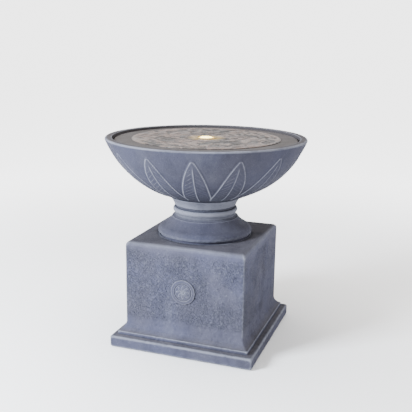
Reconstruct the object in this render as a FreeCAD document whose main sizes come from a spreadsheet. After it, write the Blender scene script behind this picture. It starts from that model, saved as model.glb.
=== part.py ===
"""Bowl fountain with its submersible pump, as a parametric document in millimetres.

A square cast plinth carries a turned foot, and the foot carries a wide bowl.  A lid hangs just
below the bowl's rim, and a small magnet-drive pump on the bowl's floor lifts water through a
riser to a nozzle in the middle of the lid, inside a ring of lights.

Frame: origin on the ground below the bowl's axis, +Z up, the plinth's decorated face toward -Y.
"""
import FreeCAD, Part
import Sketcher
import math
import os
from types import SimpleNamespace

Vector = FreeCAD.Vector
Rotation = FreeCAD.Rotation

SIZES = [
    # Plinth
    ("plinth_width", 341, "square body, face to face"),
    ("plinth_height", 300, "slab underside to the top face"),
    ("plinth_wall", 14, "side walls of the hollow body"),
    ("plinth_top_round", 12, "round along the top edges"),
    ("slab_projection", 34.5, "base slab beyond the body, each side"),
    ("slab_height", 32, "base slab"),
    ("slab_round", 5, "round along the slab's top edge"),
    ("slab_foot_round", 4, "round along the slab's lower edge"),
    ("lip_projection", 18, "fascia above the slab, beyond the body"),
    ("lip_height", 9, "fascia"),
    ("lip_round", 2.5, "round along the fascia's top edge"),
    ("weather_fall", 2, "fall of the slab's sloping top"),
    ("cove_rise", 24, "hollow moulding between fascia and body"),
    ("cove_radius", 34, "hollow moulding"),
    ("deck_thickness", 14, "top of the plinth, below the seat"),
    ("deck_hole_radius", 60, "opening for the leads"),
    ("seat_depth", 8, "seat sunk into the top face"),
    ("seat_clearance", 0.6, "between the foot and its seat"),
    ("pad_radius", 12, "rubber pads under the slab"),
    ("pad_thickness", 4, "rubber pads under the slab"),
    ("pad_proud", 2, "rubber pads, below the slab"),
    ("medallion_height", 176, "centre above the slab's underside"),
    ("medallion_radius", 37, "outside of the raised ring"),
    ("medallion_ring", 5, "width of the raised ring"),
    ("medallion_disc_radius", 25, "raised disc inside the ring"),
    ("medallion_relief", 2.5, "relief on the front face"),
    ("exit_height", 88, "rear lead exit above the slab's underside"),
    ("exit_radius", 11, "rear lead exit in the wall"),
    ("exit_bore_radius", 4.5, "bore of its grommet"),
    ("exit_lip", 3, "grommet lips beyond the hole"),
    ("exit_lip_thickness", 2, "grommet lips"),
    # Foot
    ("foot_height", 115, "seat to the face that carries the bowl"),
    ("foot_seat_radius", 128, "part that sits in the plinth"),
    ("foot_seat_height", 13, "seat to the flange"),
    ("foot_flange_radius", 134, "widest moulding"),
    ("foot_flange_height", 5, "edge of the widest moulding"),
    ("foot_flange_swell", 24, "rounded part of the ogee"),
    ("foot_ogee_hollow", 90, "hollow part of the ogee"),
    ("foot_ogee_break", 0.4, "where the ogee changes, as a share of its rise"),
    ("foot_arris_radius", 94.5, "sharp edge below the grooves"),
    ("foot_arris_drop", 58, "sharp edge below the top"),
    ("foot_groove_radius", 87, "lower groove"),
    ("foot_torus_radius", 88.5, "where the half-round ring starts and ends"),
    ("foot_torus_height", 14, "half-round ring"),
    ("foot_torus_drop", 31, "top of the half-round ring below the foot's top"),
    ("foot_torus_swell", 8.75, "half-round ring"),
    ("foot_neck_radius", 84, "upper groove"),
    ("foot_collar_radius", 101, "collar under the bowl"),
    ("foot_collar_edge", 3, "upright edge of the collar"),
    ("foot_collar_hollow", 45, "hollow below the collar"),
    ("foot_skirt_radius", 112, "lower bore"),
    ("foot_bore_radius", 72, "upper bore"),
    ("spigot_radius", 80, "ring that locates the bowl"),
    ("spigot_height", 4.5, "ring that locates the bowl"),
    ("spigot_clearance", 0.5, "between the ring and the bowl"),
    ("seat_pad_radius", 7, "rubber pads under the foot"),
    ("seat_pad_thickness", 2, "rubber pads under the foot"),
    # Bowl
    ("rim_radius", 280, "outside of the rim"),
    ("bowl_height", 167, "underside to rim"),
    ("rim_width", 21, "flat land of the rim"),
    ("rim_round", 5, "outer edge of the rim"),
    ("rim_inner_round", 2, "inner edge of the rim"),
    ("rim_depth", 22, "upright part of the inside wall"),
    ("bowl_seat_radius", 103, "flat underside"),
    ("bowl_splay_radius", 135, "end of the flat cone above the underside"),
    ("bowl_splay_rise", 15, "height of that cone"),
    ("bowl_curve_radius", 268, "outside curve of the bowl"),
    ("bowl_wall", 14, "wall of the bowl"),
    ("bowl_floor", 16, "floor of the bowl"),
    ("bowl_floor_inset", 8, "inside floor edge, in from the underside's edge"),
    ("lug_count", 4, "ledges that carry the lid"),
    ("lug_reach", 27, "ledges, in from the inside wall"),
    ("lug_width", 30, "ledges"),
    ("lug_height", 14, "ledges"),
    # Lid
    ("lid_gap", 6, "slot between lid and rim, where the water falls back"),
    ("lid_drop", 7, "lid's border below the rim"),
    ("lid_thickness", 14, "border of the lid"),
    ("lid_edge_round", 2, "upper edge of the lid"),
    ("lid_border", 47, "width of the border around the raised disc"),
    ("lid_disc_rise", 2.5, "raised disc above the border"),
    ("lid_disc_chamfer", 1, "edge of the raised disc"),
    ("lid_pad_radius", 9, "rubber pads on the ledges"),
    ("lid_pad_thickness", 3, "rubber pads on the ledges"),
    ("lid_pad_inset", 10, "pad centre, in from the lid's edge"),
    ("lid_ring_gap", 0.4, "between the light ring and the lid's grommet"),
    ("lid_ring_web", 2.6, "grommet in the lid's hole"),
    ("lid_ring_lip", 3, "grommet lips over the lid"),
    ("lid_ring_lip_thickness", 1.5, "grommet lips over the lid"),
    # Lead connector through the bowl's floor
    ("connector_offset", 23, "connector's axis beyond the side of the pump"),
    ("connector_radius", 13, "threaded shank"),
    ("connector_hole_gap", 0.4, "hole in the floor around the shank"),
    ("connector_flange_radius", 20, "flange"),
    ("connector_flange_thickness", 5, "flange"),
    ("connector_seal_thickness", 2, "rubber seal and lower washer"),
    ("connector_seal_inset", 0.5, "seal's edge inside the flange"),
    ("connector_bore_radius", 8, "bore of the shank"),
    ("connector_tail", 8, "shank below the nut"),
    ("nut_radius", 19, "lock nut, across corners, halved"),
    ("nut_clearance", 4, "between the lock nut and the foot"),
    ("nut_height", 10, "lock nut"),
    ("bung_depth", 10, "rubber bung inside the shank"),
    ("bung_head_radius", 11, "rubber bung's head"),
    ("bung_head_height", 6, "rubber bung's head"),
    ("bung_bore_radius", 3, "bore for the pump's lead"),
    # Pump
    ("cup_height", 8, "suction cups, floor to the pump's underside"),
    ("cup_radius", 11, "suction cups"),
    ("cup_neck_radius", 4.5, "suction cups"),
    ("cup_stem_radius", 2.4, "suction cups, in the housing"),
    ("cup_stem_length", 2, "suction cups, in the housing"),
    ("cup_spread_y", 17, "suction cups from the pump's middle plane"),
    ("cup_inset_x", 12, "suction cups from the housing's ends"),
    ("housing_setback", 8, "housing's front face behind the outlet's axis"),
    ("housing_length", 64, "motor housing"),
    ("housing_width", 52, "motor housing"),
    ("housing_height", 48, "motor housing"),
    ("housing_wall", 3, "motor housing"),
    ("housing_corner", 7, "rounded long edges"),
    ("potting_setback", 2, "resin below the housing's open end"),
    ("boss_radius", 3.5, "screw bosses"),
    ("boss_length", 14, "screw bosses"),
    ("boss_inset_y", 6, "screw bosses from the housing's sides"),
    ("boss_inset_z", 5.5, "screw bosses from the housing's top and bottom"),
    ("screw_radius", 1.5, "cover screws"),
    ("screw_length", 16.8, "cover screws, under the head"),
    ("screw_head_radius", 2.8, "cover screws"),
    ("screw_head_height", 2, "cover screws"),
    ("screw_hole_gap", 0.2, "cover's holes around the screws"),
    ("can_radius", 8.2, "inside of the rotor can"),
    ("can_wall", 1, "rotor can"),
    ("can_depth", 33.5, "rotor can, from the housing's front face"),
    ("can_end", 1.5, "closed end of the rotor can"),
    ("leg_thickness", 8.4, "stator legs"),
    ("leg_half_height", 8, "stator legs"),
    ("leg_gap", 0.4, "between a leg and the rotor can"),
    ("leg_setback", 2, "stator behind the housing's front wall"),
    ("stator_end_gap", 4, "stator from the housing's open end"),
    ("yoke_thickness", 10, "stator yoke"),
    ("bobbin_wall", 1.2, "coil bobbins"),
    ("bobbin_flange", 3.4, "bobbin flanges beyond the barrel"),
    ("bobbin_flange_thickness", 1.5, "bobbin flanges"),
    ("bobbin_end_gap", 1, "bobbins from the can and the yoke"),
    ("winding_inset", 0.4, "windings inside the flanges"),
    ("shaft_radius", 1.25, "fixed ceramic shaft"),
    ("running_gap", 0.05, "rotor around the shaft"),
    ("magnet_radius", 7.4, "rotor magnet"),
    ("magnet_length", 26, "rotor magnet"),
    ("magnet_setback", 4, "magnet behind the housing's front face"),
    ("end_float", 0.6, "rotor between its two bushes"),
    ("hub_radius", 3.5, "impeller hub"),
    ("impeller_radius", 14.5, "impeller"),
    ("impeller_plate", 2, "impeller's back plate"),
    ("blade_height", 8, "impeller blades"),
    ("blade_thickness", 1.6, "impeller blades"),
    ("blade_count", 6, "impeller blades"),
    ("plate_offset", 1, "back plate behind the outlet's axis"),
    ("volute_radius", 17.5, "inside of the pump chamber"),
    ("volute_wall", 3, "pump chamber"),
    ("volute_front", 3.5, "front wall of the pump chamber"),
    ("volute_nose", 14, "front wall ahead of the outlet's axis"),
    ("volute_seal_width", 3.5, "seal ring"),
    ("volute_seal_thickness", 0.8, "seal ring"),
    ("cover_flange_thickness", 4, "cover's screwed flange"),
    ("cover_flange_inset", 1, "cover's flange inside the housing's outline"),
    ("inlet_radius", 8, "inlet in the front wall"),
    ("spider_radius", 4.6, "hub that holds the front bush"),
    ("spider_arm", 2, "three arms of that hub"),
    ("bush_radius", 3, "front bush"),
    ("outlet_radius", 6.5, "outlet nipple"),
    ("outlet_bore_radius", 4.5, "outlet nipple"),
    ("outlet_height", 14, "outlet nipple's end above the housing"),
    ("gland_base_radius", 8, "pump's cable gland"),
    ("gland_base_length", 4, "pump's cable gland"),
    ("gland_nut_radius", 6.5, "pump's cable gland"),
    ("gland_nut_length", 10, "pump's cable gland"),
    ("gland_bore_radius", 3, "pump's cable gland"),
    # Strainer
    ("strainer_width", 50, "strainer cage"),
    ("strainer_height", 47, "strainer cage"),
    ("strainer_corner", 5, "rounded long edges"),
    ("strainer_wall", 2.5, "strainer cage"),
    ("strainer_nose", 46, "front face ahead of the outlet's axis"),
    ("strainer_overlap", 4.5, "cage behind the chamber's front wall"),
    ("strainer_fit", 0.3, "cage around the pump chamber"),
    ("slot_width", 2.5, "slots in the cage"),
    ("slot_pitch", 5, "slots in the cage"),
    ("slot_margin", 2.5, "end of the slots inside the cage's walls"),
    ("port_radius", 3.2, "ports in the cage's front"),
    ("port_circle", 9, "ports around the pump's axis"),
    ("port_count", 4, "ports in the cage's front"),
    ("sponge_gap", 0.5, "sponge inside the cage"),
    ("dial_radius", 15, "flow dial"),
    ("dial_thickness", 2.3, "flow dial"),
    ("dial_gap", 0.2, "flow dial ahead of the cage, and its catch behind"),
    ("dial_pin_radius", 3, "flow dial's pin"),
    ("dial_catch_radius", 4.2, "flow dial's catch"),
    ("dial_catch_length", 1.8, "flow dial's catch"),
    ("dial_grip_height", 24, "flow dial's grip"),
    ("dial_grip_width", 3, "flow dial's grip"),
    ("dial_grip_depth", 3, "flow dial's grip"),
    # Riser, nozzle and light ring
    ("riser_wall", 2, "riser tube"),
    ("riser_start", 2, "riser tube's lower end above the housing"),
    ("riser_clearance", 11, "riser tube's upper end below the light ring"),
    ("clip_wall", 1.2, "hose clips"),
    ("clip_height", 6, "hose clips"),
    ("clip_inset", 3, "hose clips from the tube's ends"),
    ("nozzle_spigot", 12, "nozzle inside the riser tube"),
    ("nozzle_collar_radius", 11, "shoulder under the light ring"),
    ("nozzle_radius", 9, "barrel through the light ring"),
    ("nozzle_bore_radius", 4, "nozzle"),
    ("nozzle_proud", 1, "nozzle above the light ring"),
    ("light_radius", 25, "light ring"),
    ("light_height", 16, "light ring"),
    ("light_wall", 2.5, "light ring"),
    ("light_base", 3, "light ring's base"),
    ("light_rise", 1, "light ring's lens above the lid's border"),
    ("lens_thickness", 3.5, "clear lens"),
    ("board_thickness", 1.6, "circuit board"),
    ("emitter_side", 5, "light emitters"),
    ("emitter_height", 1.6, "light emitters"),
    ("emitter_count", 6, "light emitters"),
    ("light_gland_radius", 4.5, "light ring's lead gland"),
    ("light_gland_length", 8, "light ring's lead gland"),
    ("light_gland_bore_radius", 1.8, "light ring's lead gland"),
]

doc = FreeCAD.newDocument("BowlFountain")
sheet = doc.addObject("Spreadsheet::Sheet", "Sizes")
for row, (alias, value, note) in enumerate(SIZES, start=1):
    sheet.set("A%d" % row, note)
    sheet.set("B%d" % row, str(value))
    sheet.setAlias("B%d" % row, alias)
doc.recompute()


# ---------------------------------------------------------------- sizes that carry expressions

class Size:
    """A number together with the expression on the Sizes sheet that gives it."""

    def __init__(self, value, text):
        self.value = float(value)
        self.text = text

    def __add__(self, other):
        other = as_size(other)
        return Size(self.value + other.value, "(%s + %s)" % (self.text, other.text))

    def __sub__(self, other):
        other = as_size(other)
        return Size(self.value - other.value, "(%s - %s)" % (self.text, other.text))

    def __mul__(self, other):
        other = as_size(other)
        return Size(self.value * other.value, "(%s * %s)" % (self.text, other.text))

    def __truediv__(self, other):
        other = as_size(other)
        return Size(self.value / other.value, "(%s / %s)" % (self.text, other.text))

    def __neg__(self):
        return as_size(0) - self

    def __radd__(self, other):
        return as_size(other) + self

    def __rsub__(self, other):
        return as_size(other) - self

    def __rmul__(self, other):
        return as_size(other) * self


def as_size(number):
    """A Size as it is, or a plain number as a Size."""
    if isinstance(number, Size):
        return number
    return Size(number, "%.9g" % number)


S = SimpleNamespace(**{alias: Size(value, "Sizes." + alias) for alias, value, note in SIZES})


def bind(thing, path, size):
    """Ties one property of a document object to its expression."""
    thing.setExpression(path, as_size(size).text)


def place(thing, x=0, y=0, z=0, turn=None):
    """Puts a document object at a bound position, with an optional fixed rotation."""
    if turn is not None:
        thing.Placement = FreeCAD.Placement(Vector(0, 0, 0), turn)
    for letter, size in zip("xyz", (x, y, z)):
        bind(thing, "Placement.Base." + letter, size)
    return thing


def around(count, radius, start=0.0):
    """Points evenly spaced on a circle: (x, y, angle in degrees) for each."""
    step = 360.0 / count
    angles = [start + step * index for index in range(count)]
    return [(radius * math.cos(math.radians(angle)), radius * math.sin(math.radians(angle)), angle)
            for angle in angles]


def corners(x, y):
    """The four points (+-x, +-y)."""
    return [(x, y), (x, -y), (-x, y), (-x, -y)]


# ---------------------------------------------------------------- outlines and sketched bodies

class Bend:
    """An arc between two corners of an outline, outward or inward."""

    def __init__(self, radius, outward):
        self.radius = as_size(radius)
        self.outward = outward


def swell(radius):
    """A convex arc from the corner before it to the corner after it."""
    return Bend(radius, True)


def hollow(radius):
    """A concave arc from the corner before it to the corner after it."""
    return Bend(radius, False)


def arc_between(start, end, bend):
    """The short arc of the bend's radius between two points of an anticlockwise outline."""
    chord = end - start
    middle = (start + end) * 0.5
    left = Vector(-chord.y, chord.x, 0).normalize()
    reach = math.sqrt(bend.radius.value ** 2 - (chord.Length / 2) ** 2)
    centre = middle + left * (reach if bend.outward else -reach)
    first, last = (start, end) if bend.outward else (end, start)
    angles = [math.atan2(point.y - centre.y, point.x - centre.x) for point in (first, last)]
    if angles[1] < angles[0]:
        angles[1] += 2 * math.pi
    circle = Part.Circle(centre, Vector(0, 0, 1), bend.radius.value)
    return Part.ArcOfCircle(circle, angles[0], angles[1])


def draw(sketch, outline):
    """Draws a closed anticlockwise outline, with each corner and radius tied to its sizes."""
    points = []
    bends = {}
    for item in outline:
        if isinstance(item, Bend):
            bends[len(points) - 1] = item
        else:
            points.append([as_size(number) for number in item])
    spots = [Vector(x.value, y.value, 0) for x, y in points]
    edges = []
    for index, start in enumerate(spots):
        end = spots[(index + 1) % len(spots)]
        bend = bends.get(index)
        shape = arc_between(start, end, bend) if bend else Part.LineSegment(start, end)
        forward = bend is None or bend.outward
        geometry = sketch.addGeometry(shape, False)
        edges.append((geometry, 1 if forward else 2, 2 if forward else 1))
    for index, (geometry, head, tail) in enumerate(edges):
        following, next_head, next_tail = edges[(index + 1) % len(edges)]
        sketch.addConstraint(Sketcher.Constraint("Coincident", geometry, tail, following, next_head))
    for index, (geometry, head, tail) in enumerate(edges):
        for kind, size in zip(("DistanceX", "DistanceY"), points[index]):
            rule = Sketcher.Constraint(kind, geometry, head, size.value)
            bind(sketch, "Constraints[%d]" % sketch.addConstraint(rule), size)
        if index in bends:
            radius = bends[index].radius
            rule = Sketcher.Constraint("Radius", geometry, radius.value)
            bind(sketch, "Constraints[%d]" % sketch.addConstraint(rule), radius)


def origin_feature(body, role):
    """One of the body's own origin planes or axes, by its role."""
    return next(item for item in body.Origin.OriginFeatures if item.Role == role)


def sketch_on(body, name, plane, outlines, lift=0):
    """A sketch on one of the body's origin planes, moved along the plane's normal by lift."""
    sketch = body.newObject("Sketcher::SketchObject", name)
    sketch.AttachmentSupport = [(origin_feature(body, plane), "")]
    sketch.MapMode = "FlatFace"
    bind(sketch, "AttachmentOffset.Base.z", lift)
    for outline in outlines:
        draw(sketch, outline)
    return sketch


def turned(name, *outlines):
    """A body turned about Z from outlines of (radius, height) corners."""
    body = doc.addObject("PartDesign::Body", name)
    sketch = sketch_on(body, name + "_outline", "XZ_Plane", outlines)
    revolution = body.newObject("PartDesign::Revolution", name + "_turning")
    revolution.Profile = (sketch, [""])
    revolution.ReferenceAxis = (sketch, ["V_Axis"])
    revolution.Angle = 360
    return body


def padded(name, plane, outlines, length, lift=0, midplane=False):
    """A body padded from outlines on an origin plane."""
    body = doc.addObject("PartDesign::Body", name)
    sketch = sketch_on(body, name + "_outline", plane, outlines, lift)
    pad = body.newObject("PartDesign::Pad", name + "_pad")
    pad.Profile = (sketch, [""])
    pad.SideType = "Symmetric" if midplane else "One side"
    bind(pad, "Length", length)
    return body


def rounded_bar(name, width, height, corner, front, length):
    """A bar along X with rounded long edges, centred on the X axis."""
    y = width / 2
    z = height / 2
    outline = [(y - corner, -z), swell(corner), (y, corner - z),
               (y, z - corner), swell(corner), (y - corner, z),
               (corner - y, z), swell(corner), (-y, z - corner),
               (-y, corner - z), swell(corner), (corner - y, -z)]
    return padded(name, "YZ_Plane", [outline], length, lift=front)


# ---------------------------------------------------------------- primitives and booleans

ALONG = {"X": Rotation(Vector(0, 1, 0), 90), "Y": Rotation(Vector(1, 0, 0), -90), "Z": Rotation()}


def block(name, x, y, z):
    """A box from three (low, high) pairs."""
    thing = doc.addObject("Part::Box", name)
    for path, (low, high) in zip(("Length", "Width", "Height"), (x, y, z)):
        bind(thing, path, as_size(high) - low)
    return place(thing, x[0], y[0], z[0])


def rod(name, radius, span, centre=(0, 0), axis="Z"):
    """A cylinder between two places on an axis; centre holds its other two coordinates."""
    thing = doc.addObject("Part::Cylinder", name)
    bind(thing, "Radius", radius)
    bind(thing, "Height", as_size(span[1]) - span[0])
    where = list(centre)
    where.insert("XYZ".index(axis), span[0])
    return place(thing, *where, turn=ALONG[axis])


def fuse(name, things):
    """One solid from several that meet."""
    joined = doc.addObject("Part::MultiFuse", name)
    joined.Shapes = list(things)
    return joined


def group(name, things):
    """Separate solids that share one name."""
    together = doc.addObject("Part::Compound", name)
    together.Links = list(things)
    return together


def cut(name, base, tools):
    """The base with every tool taken out of it."""
    result = doc.addObject("Part::Cut", name)
    result.Base = base
    result.Tool = tools[0] if len(tools) == 1 else fuse(name + "_cutters", tools)
    return result


def common(name, first, second):
    """What two solids share."""
    shared = doc.addObject("Part::Common", name)
    shared.Base = first
    shared.Tool = second
    return shared


def ring(name, inner, outer, span, centre=(0, 0), axis="Z"):
    """A plain tube between two radii."""
    return cut(name, rod(name + "_outside", outer, span, centre, axis),
               [rod(name + "_bore", inner, span, centre, axis)])


NODES = []


def node(thing):
    """Marks a finished object as one of the fountain's pieces."""
    NODES.append(thing)
    return thing


# ---------------------------------------------------------------- levels and shared radii

OVERCUT = 1.0       # how far a cutter runs past the face that it opens

slab_z = S.pad_proud
plinth_top = slab_z + S.plinth_height
seat_z = plinth_top - S.seat_depth
foot_z = seat_z + S.seat_pad_thickness
foot_top = foot_z + S.foot_height
bowl_z = foot_top
rim_z = bowl_z + S.bowl_height
floor_z = bowl_z + S.bowl_floor

plinth_half = S.plinth_width / 2
slab_half = plinth_half + S.slab_projection
cavity_half = plinth_half - S.plinth_wall
cavity_top = seat_z - S.deck_thickness

inner_radius = S.rim_radius - S.rim_width
lid_radius = inner_radius - S.lid_gap
lid_top = rim_z - S.lid_drop
lid_bottom = lid_top - S.lid_thickness
disc_top = lid_top + S.lid_disc_rise
lug_top = lid_bottom - S.lid_pad_thickness
hole_radius = S.light_radius + S.lid_ring_gap + S.lid_ring_web

connector_y = S.housing_width / 2 + S.connector_offset
niche_radius = S.nut_radius + S.nut_clearance

pump_z = floor_z + S.cup_height + S.housing_height / 2
light_top = lid_top + S.light_rise
light_z = light_top - S.light_height


# ---------------------------------------------------------------- plinth

def moulded_side():
    """Half of the plinth's outline, from the slab's foot up to the top edge."""
    slab_top = slab_z + S.slab_height
    lip_half = plinth_half + S.lip_projection
    lip_foot = slab_top + S.weather_fall
    lip_top = lip_foot + S.lip_height
    return [(slab_half - S.slab_foot_round, slab_z), swell(S.slab_foot_round),
            (slab_half, slab_z + S.slab_foot_round),
            (slab_half, slab_top - S.slab_round), swell(S.slab_round),
            (slab_half - S.slab_round, slab_top),
            (lip_half, lip_foot),
            (lip_half, lip_top - S.lip_round), swell(S.lip_round),
            (lip_half - S.lip_round, lip_top), hollow(S.cove_radius),
            (plinth_half, lip_top + S.cove_rise),
            (plinth_half, plinth_top - S.plinth_top_round), swell(S.plinth_top_round),
            (plinth_half - S.plinth_top_round, plinth_top)]


def mirrored(outline):
    """The outline followed by its mirror image across the vertical, as one closed loop."""
    return outline + [item if isinstance(item, Bend) else (-item[0], item[1])
                      for item in reversed(outline)]


def make_plinth():
    """Hollow square plinth: the same moulded outline run both ways gives mitred corners."""
    outline = mirrored(moulded_side())
    length = slab_half * 2 + 2 * OVERCUT
    across = padded("plinth_run_y", "XZ_Plane", [outline], length, midplane=True)
    along = padded("plinth_run_x", "YZ_Plane", [outline], length, midplane=True)
    casting = common("plinth_casting", across, along)
    face = -plinth_half
    medallion_z = slab_z + S.medallion_height
    centre = (0, medallion_z)
    proud = (face - S.medallion_relief, face + OVERCUT)
    frame = ring("medallion_frame", S.medallion_radius - S.medallion_ring, S.medallion_radius,
                 proud, centre, "Y")
    disc = rod("medallion_disc", S.medallion_disc_radius, proud, centre, "Y")
    dressed = fuse("plinth_dressed", [casting, frame, disc])
    cavity = block("plinth_cavity", (-cavity_half, cavity_half), (-cavity_half, cavity_half),
                   (slab_z - OVERCUT, cavity_top))
    seat = rod("plinth_seat", S.foot_seat_radius + S.seat_clearance,
               (seat_z, plinth_top + OVERCUT))
    deck_hole = rod("plinth_deck_hole", S.deck_hole_radius, (cavity_top - OVERCUT, seat_z + OVERCUT))
    lead_exit = rod("plinth_lead_exit", S.exit_radius,
                    (cavity_half - OVERCUT, plinth_half + OVERCUT),
                    (0, slab_z + S.exit_height), "Y")
    pockets = [rod("plinth_pad_pocket_%d" % index, S.pad_radius,
                   (slab_z - OVERCUT, S.pad_thickness), spot)
               for index, spot in enumerate(pad_spots())]
    node(cut("plinth", dressed, [cavity, seat, deck_hole, lead_exit] + pockets))


def pad_spots():
    """Middle of the slab's underside at each corner."""
    middle = (cavity_half + slab_half) / 2
    return corners(middle, middle)


def make_foot_pads():
    """Rubber pads let into the slab's underside."""
    node(group("foot_pads", [rod("foot_pad_%d" % index, S.pad_radius, (0, S.pad_thickness), spot)
                             for index, spot in enumerate(pad_spots())]))


def make_rear_grommet():
    """Rubber grommet in the rear wall, turned about Z and laid along Y."""
    bore = S.exit_bore_radius
    lip_radius = S.exit_radius + S.exit_lip
    lip = S.exit_lip_thickness
    wall = S.plinth_wall
    grommet = turned("rear_grommet", [
        (bore, -lip), (lip_radius, -lip), (lip_radius, 0), (S.exit_radius, 0),
        (S.exit_radius, wall), (lip_radius, wall), (lip_radius, wall + lip), (bore, wall + lip)])
    node(place(grommet, 0, cavity_half, slab_z + S.exit_height, turn=ALONG["Y"]))


# ---------------------------------------------------------------- foot

def make_seat_pads():
    """Rubber pads between the foot and its seat."""
    radius = (S.foot_skirt_radius + S.foot_seat_radius) / 2
    node(group("seat_pads", [rod("seat_pad_%d" % index, S.seat_pad_radius, (seat_z, foot_z),
                                 (x, y))
                             for index, (x, y, angle) in enumerate(around(4, radius, 45))]))


def make_foot():
    """Turned foot: ogee, sharp arris, two grooves about a half-round ring, and a collar."""
    flange_z = foot_z + S.foot_seat_height
    ogee_z = flange_z + S.foot_flange_height
    arris_z = foot_top - S.foot_arris_drop
    arris_edge = 3          # upright edge under the arris
    ogee_top = arris_z - arris_edge
    break_radius = S.foot_flange_radius - (S.foot_flange_radius - S.foot_arris_radius) * 0.3
    break_z = ogee_z + (ogee_top - ogee_z) * S.foot_ogee_break
    torus_top = foot_top - S.foot_torus_drop
    torus_z = torus_top - S.foot_torus_height
    slope = 2               # rise of the sloping groove sides
    neck_z = torus_top + slope / 2
    spigot_top = foot_top + S.spigot_height
    foot = turned("foot", [
        (S.foot_skirt_radius, foot_z), (S.foot_seat_radius, foot_z),
        (S.foot_seat_radius, flange_z), (S.foot_flange_radius, flange_z),
        (S.foot_flange_radius, ogee_z), swell(S.foot_flange_swell),
        (break_radius, break_z), hollow(S.foot_ogee_hollow),
        (S.foot_arris_radius + 1, ogee_top), (S.foot_arris_radius, arris_z),
        (S.foot_groove_radius, arris_z + 2 * slope), (S.foot_groove_radius, torus_z - slope),
        (S.foot_torus_radius, torus_z), swell(S.foot_torus_swell),
        (S.foot_torus_radius, torus_top),
        (S.foot_neck_radius, neck_z), (S.foot_neck_radius, neck_z + 2 * slope),
        (S.foot_neck_radius + 2 * slope, neck_z + 3 * slope), hollow(S.foot_collar_hollow),
        (S.foot_collar_radius, foot_top - S.foot_collar_edge), (S.foot_collar_radius, foot_top),
        (S.spigot_radius, foot_top), (S.spigot_radius, spigot_top),
        (S.foot_bore_radius, spigot_top), (S.foot_bore_radius, ogee_top),
        (S.foot_skirt_radius, flange_z - 1.5 * slope)])
    if (connector_y + niche_radius).value > S.foot_bore_radius.value:
        niche = rod("foot_nut_niche", niche_radius, (foot_z, spigot_top + OVERCUT),
                    (0, connector_y))
        foot.Label = "foot_turning"
        foot = cut("foot_with_niche", foot, [niche])
        foot.Label = "foot"
    node(foot)


# ---------------------------------------------------------------- bowl

def make_bowl():
    """Wide bowl with a flat rim, a recess for the foot's spigot and ledges for the lid."""
    splay_z = bowl_z + S.bowl_splay_rise
    recess_z = spigot_recess_z()
    recess_radius = S.spigot_radius + S.spigot_clearance
    outside = turned("bowl_outside", [
        (0, recess_z), (recess_radius, recess_z), (recess_radius, bowl_z),
        (S.bowl_seat_radius, bowl_z), (S.bowl_splay_radius, splay_z), swell(S.bowl_curve_radius),
        (S.rim_radius, rim_z - S.rim_round), swell(S.rim_round),
        (S.rim_radius - S.rim_round, rim_z), (0, rim_z)])
    inside = turned("bowl_inside", [
        (0, floor_z), (S.bowl_seat_radius - S.bowl_floor_inset, floor_z),
        swell(S.bowl_curve_radius - S.bowl_wall),
        (inner_radius, rim_z - S.rim_depth), (inner_radius, rim_z - S.rim_inner_round),
        hollow(S.rim_inner_round), (inner_radius + S.rim_inner_round, rim_z),
        (inner_radius + S.rim_inner_round, rim_z + OVERCUT), (0, rim_z + OVERCUT)])
    lug_root = inner_radius + S.rim_width / 2
    lug_radius = inner_radius - S.lug_reach
    half = S.lug_width / 2
    height = (lug_top - S.lug_height, lug_top)
    lugs = [block("bowl_lug_right", (lug_radius, lug_root), (-half, half), height),
            block("bowl_lug_left", (-lug_root, -lug_radius), (-half, half), height),
            block("bowl_lug_back", (-half, half), (lug_radius, lug_root), height),
            block("bowl_lug_front", (-half, half), (-lug_root, -lug_radius), height)]
    hollow_around_lugs = cut("bowl_hollow", inside, lugs)
    lead_hole = rod("bowl_lead_hole", S.connector_radius + S.connector_hole_gap,
                    (bowl_z, floor_z + OVERCUT), (0, connector_y))
    node(cut("bowl", outside, [hollow_around_lugs, lead_hole]))


def spigot_recess_z():
    """Height of the recess that the foot's spigot enters."""
    return bowl_z + S.spigot_height + S.spigot_clearance


def make_lid_pads():
    """Rubber pads on the ledges, under the lid."""
    radius = lid_radius - S.lid_pad_inset
    count = int(S.lug_count.value)
    node(group("lid_pads", [rod("lid_pad_%d" % index, S.lid_pad_radius, (lug_top, lid_bottom),
                                (x, y))
                            for index, (x, y, angle) in enumerate(around(count, radius))]))


# ---------------------------------------------------------------- lid

def make_lid():
    """Cast lid with a low border, a raised disc and a hole for the light ring."""
    disc_radius = lid_radius - S.lid_border
    node(turned("lid", [
        (hole_radius, lid_bottom), (lid_radius, lid_bottom),
        (lid_radius, lid_top - S.lid_edge_round), swell(S.lid_edge_round),
        (lid_radius - S.lid_edge_round, lid_top), (disc_radius, lid_top),
        (disc_radius, disc_top - S.lid_disc_chamfer), (disc_radius - S.lid_disc_chamfer, disc_top),
        (hole_radius, disc_top)]))


def make_lid_grommet():
    """Rubber grommet that lines the lid's hole and grips both faces."""
    bore = S.light_radius + S.lid_ring_gap
    lip = hole_radius + S.lid_ring_lip
    low = lid_bottom - S.lid_ring_lip_thickness
    high = disc_top + S.lid_ring_lip_thickness
    node(turned("lid_grommet", [
        (bore, low), (lip, low), (lip, lid_bottom), (hole_radius, lid_bottom),
        (hole_radius, disc_top), (lip, disc_top), (lip, high), (bore, high)]))


# ---------------------------------------------------------------- lead connector

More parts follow.
